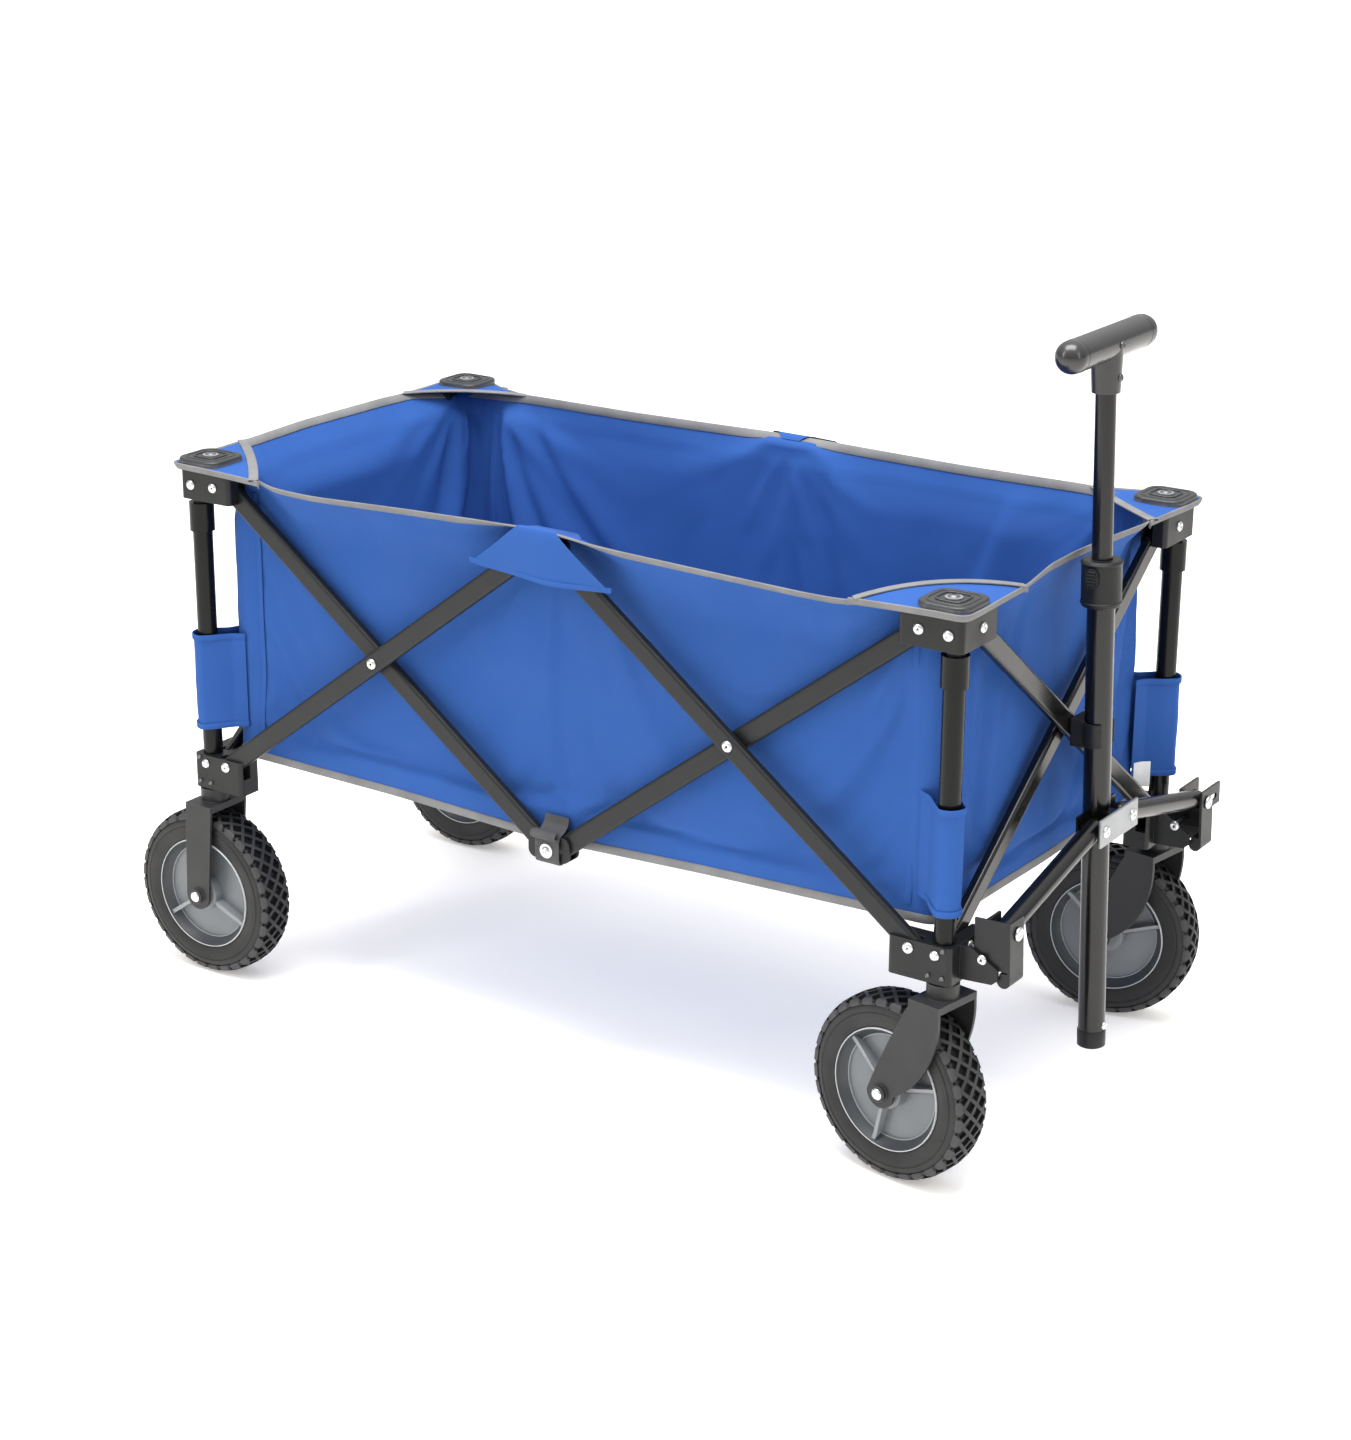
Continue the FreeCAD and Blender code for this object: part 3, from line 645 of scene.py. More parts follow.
@dataclass(frozen=True)
class Pull:
    """Fine tension folds that spread like a fan from where the cloth is held.

    Attributes:
        place: Where along the wall the cloth is held.
        height: Height of that place.
        reach: How far from it the folds are deepest, in metres.
        depth: Their depth there, in metres.
        seed: Changes their angles.
    """

    place: float
    height: float
    reach: float
    depth: float
    seed: float

    def at(self, place: Array, height: Array) -> Array:
        """Returns how far the cloth is moved inwards at each point."""
        far = np.hypot(place - self.place, height - self.height) / self.reach
        angle = np.arctan2(height - self.height, place - self.place)
        fan = np.sin(9 * angle + self.seed) + 0.7 * np.sin(16 * angle + 2.3 * self.seed)
        return self.depth * np.maximum(fan, -0.4) * far * np.exp(1 - far**1.5)


# ---------------------------------------------------------------- the fabric tub


@dataclass
class Wall:
    """One wall of the tub, cut from a shell with rounded corners.

    Attributes:
        name: The piece's name.
        replaces: The CAD node that it stands for.
        body: The body that it rides on.
        half: Half its straight length in metres.
        rim: (place, outward lean, height) knots of its top edge.
        hem: (place, height) knots of its bottom edge.
        creases: Its folds, deep and fine.
        pivots: Where the bars' top pivots are along it.
        corner: Radius of its rounded ends, seen from above.
        seams: Where upright seams are along it.
    """

    name: str
    replaces: str
    body: str
    half: float
    rim: tuple[tuple[float, float, float], ...]
    hem: tuple[tuple[float, float], ...]
    creases: tuple[Crease | Pull, ...]
    pivots: tuple[float, ...]
    corner: float = 0.0
    seams: tuple[float, ...] = ()

    def plan(self, place: Array) -> tuple[Array, Array]:
        """Returns the wall's line seen from above, and its outward direction, at each place along it."""
        raise NotImplementedError

    def grid(self, step: float) -> tuple[Array, Array, Array]:
        """Returns the wall's corner positions, rows by columns by 3, with their places and rest heights."""
        reach = self.half + self.corner * math.pi / 2
        columns = int(2 * reach / step) + 1
        place = np.linspace(-reach, reach, columns)
        rim = np.array(self.rim)
        lean = curve_through(place, rim[:, (0, 1)])
        top = curve_through(place, rim[:, (0, 2)])
        bottom = curve_through(place, self.hem)
        rows = int(0.31 / step) + 1
        t = np.linspace(0, 1, rows)[:, None]
        height = bottom + (top - bottom) * t
        away = np.min([np.abs(np.abs(place) - p) for p in self.pivots], axis=0)
        clear = np.clip(0.5455 - 0.758 * np.maximum(0, away - 0.012), 0.490, 0.5445)
        rise = np.clip((height - clear) / np.maximum(top - clear, 0.001), 0, 1)
        plan, outward = self.plan(place)
        plan = np.broadcast_to(plan, (rows, columns, 2))
        flat = np.concatenate([plan, height[..., None]], 2)
        pulled = sum((c.at(np.broadcast_to(place, height.shape), height) for c in self.creases), 0.0)
        ripple = sum(field_noise(flat.reshape(-1, 3), size, seed) * deep
                     for size, seed, deep in ((0.13, 3.1, 0.0030), (0.045, 7.7, 0.0008), (0.018, 5.2, 0.00018)))
        held = smooth_step(height, 0.25, 0.275) * (1 - smooth_step(height, 0.515, 0.54))
        joint = smooth_step(reach - np.abs(place), 0.0, 0.018)
        inwards = held * (pulled * joint + 0.0012 + ripple.reshape(height.shape) * joint)
        outwards = lean * rise**1.5 - np.maximum(inwards, -0.0012)
        flat = flat.copy()
        flat[..., :2] += outward * outwards[..., None]
        return flat, place, height

    def build(self) -> list[bpy.types.Object]:
        """Makes the cloth, its rim binding and its hem, in place on their body."""
        points, place, height = self.grid(0.005)
        rows, columns = height.shape
        cloth = np.stack([np.broadcast_to(place, height.shape), height], 2).reshape(-1, 2)
        made = mesh_object(self.name, points.reshape(-1, 3), grid_faces(rows, columns), POLYESTER, 80, cloth)
        held = (height > 0.522) | (height < 0.268) | (np.abs(place) > place.max() - 0.022)
        outward = np.broadcast_to(np.append(self.plan(place)[1], np.zeros((columns, 1)), 1), points.shape)
        hung(made, held.ravel(), outward.reshape(-1, 3), 0.006, 0.006, 0.0008)
        top, below = points[-1], points[-3]
        rim = ribbon(self.name + "_rim_binding", top + (0, 0, 0.0008), below - top, BINDING, BINDING_WIDTH,
                     BINDING_THICKNESS, belly=0.1)
        low, above = points[0], points[2]
        hem = ribbon(self.name + "_hem_binding", low - (0, 0, 0.0008), above - low, BINDING, 0.0085,
                     BINDING_THICKNESS, belly=0.1)
        seams = [self.seam(k, points[:, np.abs(place - at).argmin()]) for k, at in enumerate(self.seams)]
        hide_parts(self.replaces)
        for piece in (made, rim, hem, *seams):
            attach(piece, self.body)
            self.fold(piece)
        size = float(np.mean([lengths(row)[-1] for row in points])), float(np.mean(
            [lengths(points[:, c])[-1] for c in range(columns)]))
        LOG.info("%s: cut %.3f by %.3f m", self.name, *size)
        return [made, rim, hem, *seams]

    def seam(self, number: int, line: Array) -> bpy.types.Object:
        """Makes an upright felled seam on the outside of the wall, along one column of its cloth."""
        outward = line[len(line) // 2] - (MIDDLE_X, 0, line[len(line) // 2][2])
        outward = np.sign(outward) * (np.abs(outward) > 0.19) * (1, 1, 0) if self.corner else (0, np.sign(outward[1]), 0)
        along = np.cross((0, 0, 1), outward)
        return ribbon(f"{self.name}_seam_{number}", line[3:-5] + np.array(outward) * 0.0003, along, POLYESTER, 0.007, 0.0013)

    def fold(self, piece: bpy.types.Object) -> None:
        """Gives a piece of this wall its own mesh."""
        raise NotImplementedError


@dataclass
class SideWall(Wall):
    """A long wall, straight between the tub's corners."""

    side: Side = Side.RIGHT

    def plan(self, place: Array) -> tuple[Array, Array]:
        """Returns the straight line of the wall and its outward direction."""
        line = np.stack([place + MIDDLE_X, np.full_like(place, self.side.sign * WALL_Y)], 1)
        return line, np.broadcast_to((0.0, float(self.side.sign)), line.shape)

    def fold(self, piece: bpy.types.Object) -> None:
        """Gives the piece its own mesh."""
        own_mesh(piece)


@dataclass
class EndWall(Wall):
    """A short wall with the tub's two rounded corners."""

    end: End = End.REAR

    def plan(self, place: Array) -> tuple[Array, Array]:
        """Returns the wall's line with a quarter turn at each end, and its outward direction."""
        beyond = np.clip(np.abs(place) - self.half, 0, None)
        angle = np.clip(beyond / self.corner, 0, math.pi / 2)
        side = np.sign(place)
        y = np.clip(place, -self.half, self.half) + side * self.corner * np.sin(angle)
        x = WALL_X - self.corner * (1 - np.cos(angle))
        line = np.stack([MIDDLE_X + self.end.sign * x, y], 1)
        return line, np.stack([self.end.sign * np.cos(angle), side * np.sin(angle)], 1)

    def fold(self, piece: bpy.types.Object) -> None:
        """Gives the piece its own mesh."""
        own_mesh(piece)


CORNER_R = 0.020
SIDE_HALF, END_HALF = WALL_X - CORNER_R, WALL_Y - CORNER_R
SIDE_PIVOTS, END_PIVOTS = (0.012, 0.401), (0.1945,)


@dataclass
class Tub:
    """The sewn fabric tub: four walls, the two halves of its floor and their bindings."""

    pieces: list[bpy.types.Object] = field(default_factory=list)

    def walls(self) -> list[Wall]:
        """Returns the four walls, each with its own folds."""
        right = SideWall(
            "tub_side_right", "tub_wall_right", "rear_right_top", SIDE_HALF,
            rim=((-0.394, 0, 0.5465), (-0.36, 0.020, 0.545), (-0.32, 0.036, 0.5425), (-0.27, 0.036, 0.5415),
                 (-0.155, 0.035, 0.547), (-0.07, 0.034, 0.550), (0, 0.033, 0.551), (0.07, 0.033, 0.5465),
                 (0.18, 0.035, 0.5445), (0.29, 0.036, 0.5425), (0.335, 0.037, 0.5435), (0.365, 0.020, 0.5455),
                 (0.394, 0, 0.5465)),
            hem=((-0.394, 0.240), (-0.2, 0.238), (-0.02, 0.232), (0.16, 0.240), (0.394, 0.247)),
            creases=(Crease((-0.375, 0.30), (-0.355, 0.50), 0.006, 0.030, 0.004),
                     Crease((-0.05, 0.50), (-0.20, 0.40), 0.004, 0.035, 0.008),
                     Crease((0.07, 0.49), (0.16, 0.33), 0.003, 0.040, -0.01),
                     Crease((0.37, 0.44), (0.28, 0.30), 0.004, 0.030, 0.01),
                     Crease((0.0, 0.27), (-0.10, 0.36), 0.003, 0.028, 0.0),
                     Crease((0.385, 0.27), (0.375, 0.50), 0.005, 0.016, 0.003),
                     Pull(-0.385, 0.545, 0.055, 0.0016, 0.4), Pull(0.385, 0.545, 0.060, 0.0018, 1.9),
                     Pull(0.0, 0.540, 0.060, 0.0014, 3.1), Pull(0.0, 0.235, 0.055, 0.0014, 0.9),
                     Pull(0.385, 0.250, 0.045, 0.0012, 2.2), Pull(-0.385, 0.245, 0.045, 0.0014, 4.0)),
            pivots=SIDE_PIVOTS, seams=(-0.380, 0.380), side=Side.RIGHT)
        left = SideWall(
            "tub_side_left", "tub_wall_left", "rear_left_top", SIDE_HALF,
            rim=((-0.394, 0, 0.5465), (-0.34, 0.006, 0.548), (-0.2, 0.008, 0.5475), (-0.03, 0.014, 0.549),
                 (0.03, 0.014, 0.549), (0.2, 0.013, 0.5475), (0.34, 0.018, 0.5475), (0.394, 0, 0.5465)),
            hem=((-0.394, 0.240), (-0.1, 0.236), (0.1, 0.238), (0.394, 0.245)),
            creases=(Crease((-0.362, 0.545), (-0.290, 0.27), 0.017, 0.026, -0.012),
                     Crease((-0.380, 0.50), (-0.372, 0.27), 0.005, 0.016, 0.004),
                     Crease((-0.345, 0.54), (-0.215, 0.30), 0.008, 0.030, -0.020),
                     Crease((-0.320, 0.535), (-0.150, 0.34), 0.004, 0.026, -0.014),
                     Crease((0.02, 0.53), (-0.10, 0.30), 0.004, 0.040, 0.012),
                     Crease((0.06, 0.53), (0.10, 0.33), 0.0035, 0.035, -0.01),
                     Crease((0.26, 0.52), (0.18, 0.34), 0.005, 0.034, 0.01),
                     Crease((0.36, 0.50), (0.375, 0.30), 0.007, 0.022, 0.0),
                     Pull(-0.380, 0.545, 0.080, 0.0022, 0.7), Pull(0.380, 0.545, 0.060, 0.0016, 2.6),
                     Pull(0.0, 0.545, 0.075, 0.0012, 1.1), Pull(0.0, 0.235, 0.060, 0.0014, 3.3)),
            pivots=SIDE_PIVOTS, seams=(-0.372, 0.380), side=Side.LEFT)
        rear = EndWall(
            "tub_end_rear", "tub_wall_rear", "rear_right_top", END_HALF,
            rim=((-0.2116, 0, 0.5465), (-0.165, 0.012, 0.5465), (-0.135, 0.036, 0.549), (-0.03, 0.042, 0.5495),
                 (0.1, 0.038, 0.5495), (0.135, 0.034, 0.549), (0.165, 0.012, 0.5465), (0.2116, 0, 0.5465)),
            hem=((-0.2116, 0.240), (0.2116, 0.240)),
            creases=(Crease((0.178, 0.545), (0.105, 0.27), 0.012, 0.030, 0.012),
                     Crease((0.186, 0.52), (0.182, 0.27), 0.004, 0.014, -0.002),
                     Crease((-0.165, 0.52), (-0.17, 0.28), 0.008, 0.022, 0.0),
                     Crease((0.03, 0.44), (-0.05, 0.29), 0.003, 0.040, 0.01),
                     Pull(0.180, 0.545, 0.070, 0.0020, 1.5), Pull(-0.180, 0.545, 0.060, 0.0016, 0.2)),
            pivots=END_PIVOTS, corner=CORNER_R, end=End.REAR)
        front = EndWall(
            "tub_end_front", "tub_wall_front", "front_right_top", END_HALF,
            rim=((-0.2116, 0, 0.5465), (-0.165, 0.012, 0.5465), (-0.125, 0.034, 0.549), (-0.05, 0.020, 0.5485),
                 (0.0, 0.018, 0.548), (0.05, 0.022, 0.5485), (0.125, 0.032, 0.549), (0.165, 0.012, 0.5465),
                 (0.2116, 0, 0.5465)),
            hem=((-0.2116, 0.247), (0.0, 0.243), (0.2116, 0.245)),
            creases=(Crease((-0.165, 0.27), (-0.150, 0.53), 0.008, 0.020, 0.006),
                     Crease((-0.13, 0.30), (-0.095, 0.50), 0.009, 0.022, 0.006),
                     Crease((-0.085, 0.40), (-0.06, 0.53), 0.004, 0.020, 0.0),
                     Crease((0.05, 0.27), (0.12, 0.45), 0.007, 0.030, -0.01),
                     Crease((0.165, 0.52), (0.17, 0.28), 0.008, 0.020, 0.0),
                     Pull(-0.180, 0.545, 0.060, 0.0018, 0.9), Pull(0.180, 0.545, 0.060, 0.0016, 2.0)),
            pivots=END_PIVOTS, corner=CORNER_R, end=End.FRONT)
        return [right, left, rear, front]

    def floor_half(self, side: Side) -> bpy.types.Object:
        """Makes one half of the floor, which lies on the bottom of the tub and folds along the middle."""
        high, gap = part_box(f"tub_floor_{side.value}")[1], 0.0006
        length, width = 2 * (WALL_X - gap), WALL_Y - gap
        gx, gy = np.meshgrid(np.linspace(-length / 2, length / 2, 90), np.linspace(0, width, 24))
        past = np.maximum(np.stack([np.abs(gx) - SIDE_HALF, gy - END_HALF]), 0)
        pull = np.minimum(1, (CORNER_R - gap) / np.maximum(np.linalg.norm(past, axis=0), 1e-6)) - 1
        pull = pull * past * (past.min(axis=0) > 0)
        gx, gy = gx + np.sign(gx) * pull[0], side.sign * (gy + pull[1])
        flat = np.stack([gx + MIDDLE_X, gy, np.zeros_like(gx)], 2).reshape(-1, 3)
        swell = field_noise(flat, 0.14, 1.7) * 0.0012 + field_noise(flat, 0.04, 5.3) * 0.0004
        flat[:, 2] = high.z - 0.0012 + swell
        name = f"tub_floor_half_{side.value}"
        made = mesh_object(name, flat, grid_faces(24, 90), POLYESTER, 80, flat[:, :2])
        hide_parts(f"tub_floor_{side.value}")
        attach(made, f"floor_{side.value}")
        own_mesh(made)
        return made

    def build(self) -> None:
        """Makes the whole tub."""
        for wall in self.walls():
            self.pieces += wall.build()
        self.pieces += [self.floor_half(side) for side in Side]


@dataclass
class Gusset:
    """The fabric corner that is clamped between a top bracket and its cap.

    Attributes:
        corner: Where it is.
        along_side: How far its edge runs along the side rim, from the post's axis.
        along_end: How far its edge runs along the end rim.
        bow: How far its inner edge bends towards the tub's middle.
        rise: How far its inner edge lifts.
    """

    corner: Corner
    along_side: float
    along_end: float
    side_lean: float
    end_lean: float
    bow: float = 0.004
    rise: float = 0.001

    def outline(self) -> tuple[Array, Array]:
        """Returns the outer edge, from the side rim round the tip to the end rim, and the inner edge."""
        at, out = self.corner.at, 0.0205
        side_y, end_x = POST_Y - WALL_Y - self.side_lean, POST_X - WALL_X - self.end_lean
        turn = [at(-out + 0.009 * (1 - math.cos(a)), -out + 0.009 * (1 - math.sin(a)), 0.5488)
                for a in np.linspace(math.pi / 2, 0, 7)]
        outer = [at(self.along_side, side_y, 0.5462), at(self.along_side * 0.5, side_y * 0.6 - out * 0.4, 0.5480),
                 at(0.012, -out, 0.5488), *turn, at(-out, 0.012, 0.5488),
                 at(end_x * 0.6 - out * 0.4, self.along_end * 0.5, 0.5490), at(end_x, self.along_end, 0.5495)]
        outer = resampled(outer, 0.005)
        start, end = outer[0], outer[-1]
        t = np.linspace(0, 1, len(outer))[:, None]
        inwards = np.array((-self.corner.end.sign, -self.corner.side.sign, 0)) / math.sqrt(2)
        arch = 4 * t * (1 - t)
        inner = start + (end - start) * t + inwards * self.bow * arch + np.array((0, 0, self.rise)) * arch
        return outer, inner

    def build(self) -> None:
        """Makes the gusset, its outer binding and its diagonal strap."""
        name, body = self.corner.name, f"{self.corner.name}_top"
        outer, inner = self.outline()
        t = np.linspace(0, 1, 12)[:, None, None]
        points = inner + (outer - inner) * t
        flat = points.reshape(-1, 3)
        flat[:, 2] += field_noise(flat, 0.03, 4.4) * 0.0004
        cloth = mesh_object(f"gusset_{name}", flat, grid_faces(12, len(outer)), POLYESTER, 80, flat[:, :2])
        inwards = inner - outer
        inwards[:, 2] = 0
        inwards /= np.maximum(np.linalg.norm(inwards, axis=1, keepdims=True), 1e-4)
        edge = ribbon(f"gusset_{name}_binding", outer + (0, 0, 0.0012), inwards * 0.5 + (0, 0, -0.85), BINDING,
                      BINDING_WIDTH * 0.8, BINDING_THICKNESS, belly=0.1)
        strap = ribbon(f"gusset_{name}_strap", inner + (0, 0, 0.0006), -inwards, BINDING, BINDING_WIDTH,
                       BINDING_THICKNESS)
        for piece in (cloth, edge, strap):
            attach(piece, body)
        span = lengths(outer)[-1] / 2


@dataclass
class Sleeve:
    """A fabric band that wraps a post and is sewn to the tub's corner.

    Attributes:
        corner: The post that it wraps.
        low: Height of its bottom edge.
        high: Height of its top edge.
        tag: True where the white hook tape of its fastening shows.
    """

    corner: Corner
    low: float = 0.272
    high: float = 0.372
    tag: bool = False

    def line(self) -> Array:
        """Returns the band's line seen from above: from the side wall, round the post, to the end wall."""
        radius = 0.0138
        arc = [(-radius * math.sin(a), -radius * math.cos(a)) for a in np.linspace(-0.15, math.pi / 2 + 0.15, 12)]
        knots = [(0.037, POST_Y - WALL_Y - 0.001), (0.024, 0.0085), (0.012, -0.0035), *arc, (-0.0035, 0.012),
                 (0.0085, 0.022), (0.0150, 0.034)]
        return np.array([tuple(self.corner.at(u, v, 0)) for u, v in knots])

    def build(self) -> None:
        """Makes the band, its edge seams and the strip of hook tape."""
        name, body = self.corner.name, f"{self.corner.name}_base"
        line = resampled(self.line(), 0.002)
        run = lengths(line)
        centre = np.array(self.corner.at(0, 0, 0))
        outward = line - centre
        outward[:, 2] = 0
        outward /= np.linalg.norm(outward, axis=1, keepdims=True)
        rows = 20
        t = np.linspace(0, 1, rows)[:, None]
        middle = run / run[-1]
        sag = 0.002 * np.sin(math.pi * middle)
        height = self.low + (self.high - self.low) * t - sag * (1 - t) - sag * 0.5 * t
        points = np.broadcast_to(line, (rows, *line.shape)).copy()
        points[..., 2] = height
        swell = 0.0007 * np.sin(math.pi * t) + 0.0006 * field_noise(points.reshape(-1, 3), 0.022, 2.2).reshape(rows, -1)
        free = smooth_step(middle, 0.05, 0.3) * (1 - smooth_step(middle, 0.7, 0.95))
        flare = 0.0010 * np.clip((np.abs(t - 0.5) - 0.40) / 0.10, 0, 1)
        points += outward * (np.clip(swell, -0.0002, 1) + flare)[..., None] * free[:, None]
        cloth = np.stack([np.broadcast_to(run, height.shape), height], 2).reshape(-1, 2)
        band = mesh_object(f"sleeve_{name}", points.reshape(-1, 3), grid_faces(rows, len(line)), POLYESTER, 80, cloth)
        trim = [ribbon(f"sleeve_{name}_seam_{k}", points[r] + outward * 0.0004, (0, 0, s), POLYESTER, 0.006, 0.0013)
                for k, r, s in (("low", 0, 1.0), ("high", -1, -1.0))]
        if self.tag:
            strip = line[(middle > 0.80) & (middle < 0.97)] + outward[(middle > 0.80) & (middle < 0.97)] * 0.0016
            strip[:, 2] = self.low - 0.012
            trim.append(ribbon(f"sleeve_{name}_hook_tape", strip, (0, 0, 1), HOOK_TAPE, 0.026, 0.0012))
        for piece in (band, *trim):
            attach(piece, body)


@dataclass
class Flap:
    """The fabric patch over the middle hinge of a long side."""

    side: Side

    def build(self) -> None:
        """Makes the flap over the rim and down the outside, with its hemmed lower edge."""
        sign = self.side.sign
        rim, crest = (0.2332, 0.5530) if self.side is Side.RIGHT else (0.2142, 0.5510)
        face = max(rim, 0.2300)
        section = resampled([(rim - 0.008, 0, crest - 0.004), (rim - 0.004, 0, crest), (rim + 0.0012, 0, crest + 0.0004),
                             (face + 0.0028, 0, crest - 0.006), (face + 0.0030, 0, 0.536), (face + 0.0024, 0, 0.520),
                             (face + 0.0006, 0, 0.502)], 0.0025)
        run = lengths(section)
        down = run / run[-1]
        across = np.linspace(-1, 1, 60)
        half = 0.010 + 0.070 * down
        middle = MIDDLE_X + 0.004 * down
        x = middle[:, None] + half[:, None] * across
        y = sign * (section[:, 0][:, None] + 0.0022 * np.sin(across * 5.2 + 0.7) * down[:, None] ** 2)
        z = section[:, 2][:, None] + (0.0055 * across**2 - 0.002 * across) * down[:, None] ** 2
        points = np.stack([x, np.broadcast_to(y, x.shape), z], 2)
        cloth = np.stack([x, np.broadcast_to(run[:, None], x.shape)], 2).reshape(-1, 2)
        made = mesh_object(f"flap_{self.side.value}", points.reshape(-1, 3), grid_faces(*x.shape), POLYESTER, 80, cloth)
        hem = ribbon(f"flap_{self.side.value}_hem", points[-1] + (0, sign * 0.0004, 0), (0, 0, 1), POLYESTER, 0.005, 0.0011)
        for piece in (made, hem):
            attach(piece, f"centre_{self.side.value}_top")


@dataclass
class HingeTab:
    """The webbing tab that wraps the bottom middle hinge and ties the tub's floor to it."""

    side: Side

    def build(self) -> None:
        """Makes the tab, its rolled loop and the washer and rivet through it."""
        sign, name = self.side.sign, self.side.value
        body = f"centre_{name}_bottom"
        section = [(0.2040, 0.262), (0.2060, 0.2545), (0.2120, 0.2495), (0.2195, 0.2475), (0.2215, 0.243),
                   (0.2215, 0.225), (0.2205, 0.2195), (0.2150, 0.2185)]
        line = resampled([(MIDDLE_X - 0.014, sign * y, z) for y, z in section], 0.002)
        tab = ribbon(f"hinge_tab_{name}", line, (1, 0, 0), WEBBING_SHADED, 0.028, 0.0018)
        roll = [(0.2255 + 0.0040 * math.cos(a), 0.2495 + 0.0040 * math.sin(a)) for a in np.linspace(-1.2, 4.4, 16)]
        loop = ribbon(f"hinge_tab_{name}_loop", np.array([(MIDDLE_X - 0.014, sign * y, z) for y, z in roll]), (1, 0, 0),
                      WEBBING_SHADED, 0.029, 0.0014)
        out = Vector((0, sign, 0))
        seat = Vector((MIDDLE_X, sign * 0.2224, 0.232))
        washer = turned(f"hinge_tab_{name}_washer", [(0, 0), (0, 0.0075), (0.0010, 0.0073), (0.0012, 0.0062), (0.0012, 0)],
                        seat, out, ZINC)
        head = Rivets.head(f"hinge_tab_{name}_rivet", seat + out * 0.001, out, 0.0046)
        for piece in (tab, loop, washer, head):
            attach(piece, body)


# ---------------------------------------------------------------- rivets, screws and caps


class Rivets:
    """Zinc-plated rivet heads and small screws, seated on the pieces that they hold."""

    @staticmethod
    def head(name: str, seat: Vector, out: Vector, radius: float = 0.0052, finish: Finish = ZINC) -> bpy.types.Object:
        """Makes a domed head with a pressed dimple."""
        r = radius
        outline = [(-0.0006, r * 0.98), (0.0004, r), (0.0012, r * 0.93), (0.0019, r * 0.74), (0.0023, r * 0.48),
                   (0.0022, r * 0.34), (0.0016, r * 0.24), (0.0014, 0)]
        return turned(name, outline, seat, out, finish, 20, 60)

    @classmethod
    def seat(cls, body: str, name: str, places: Sequence[tuple[Vector, Vector, float]], finish: Finish = ZINC) -> None:
        """Makes several heads as one piece on a body."""
        heads = [cls.head(f"{name}_{i}", p, o, r, finish) for i, (p, o, r) in enumerate(places)]
        made = joined(name, heads) if len(heads) > 1 else heads[0]
        made.name = name
        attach(made, body)


def corner_rivets(corner: Corner) -> None:
    """Seats the rivets and small screws of one corner's two brackets."""
    side, end = Vector((0, corner.side.sign, 0)), Vector((corner.end.sign, 0, 0))
    face, name = -0.0142, corner.name
    Rivets.seat(f"{name}_top", f"rivets_top_{name}", [
        (corner.at(0.0, face, 0.528), side, 0.0052), (corner.at(0.029, face, 0.529), side, 0.0052),
        (corner.at(face, 0.0215, 0.529), end, 0.0052)])
    Rivets.seat(f"{name}_base", f"rivets_bottom_{name}", [
        (corner.at(0.029, face, 0.234), side, 0.0055), (corner.at(face, 0.0215, 0.234), end, 0.0055),
        (corner.at(0.002, face, 0.233), side, 0.0048)])
    Rivets.seat(f"{name}_base", f"screws_bottom_{name}", [
        (corner.at(-0.006, face, 0.239), side, 0.0024), (corner.at(-0.006, face, 0.213), side, 0.0024),
        (corner.at(0.008, face, 0.213), side, 0.0024)], DARK_SCREW)


def cap_detail(corner: Corner) -> None:
    """Makes the raised rings and the domed screw on top of a corner cap."""
    low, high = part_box(f"cap_{corner.name}")
    middle = (low + high) / 2
    reach = (high.x - low.x) / 2
    rings = []
    for k, (size, rise) in enumerate(((0.80, 0.0012), (0.55, 0.0016))):
        half, turn = reach * size, reach * size * 0.55
        path = [(middle.x + sx * (half - turn) + turn * math.cos(a), middle.y + sy * (half - turn) + turn * math.sin(a), 0)
                for (sx, sy), start in (((1, 1), 0), ((-1, 1), 1), ((-1, -1), 2), ((1, -1), 3))
                for a in np.linspace(start, start + 1, 7) * math.pi / 2]
        path = np.array(path + path[:1])
        path[:, 2] = high.z - 0.0006
        inwards = np.array((middle.x, middle.y, high.z)) - path
        inwards[:, 2] = 0
        rings.append(bevelled(ribbon(f"cap_ring_{k}_{corner.name}", path, inwards, CAP, 0.0022, 2 * rise), 0.0003, 1))
    seat = Vector((middle.x, middle.y, high.z - 0.0002))
    rings.append(turned(f"cap_boss_{corner.name}", [(0, 0.0082), (0.0012, 0.0080), (0.0015, 0.0070), (0.0008, 0)], seat,
                        Vector((0, 0, 1)), CAP))
    ring = joined(f"cap_relief_{corner.name}", rings)
    screw = turned(f"cap_screw_{corner.name}", [(0, 0.0058), (0.0016, 0.0056), (0.0030, 0.0042), (0.0036, 0.0024),
                                                (0.0020, 0.0020), (0.0020, 0)], seat, Vector((0, 0, 1)), DARK_SCREW, 20)
    for piece in (ring, screw):
        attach(piece, f"{corner.name}_top")


def crossing_rivets() -> None:
    """Seats the rivets where each pair of bars crosses."""
    for side in Side:
        for end in End:
            body = f"bar_{side.value[0]}{end.value[0]}_outer"
            place = Vector((MIDDLE_X + end.sign * 0.2065, side.sign * 0.2266, 0.3815))
            Rivets.seat(body, f"rivet_crossing_{side.value}_{end.value}", [(place, Vector((0, side.sign, 0)), 0.0056)])
    Rivets.seat("bar_rear_outer", "rivet_crossing_rear",
                [(Vector((MIDDLE_X - 0.4406, 0, 0.3815)), Vector((-1, 0, 0)), 0.0056)])


# ---------------------------------------------------------------- wheels


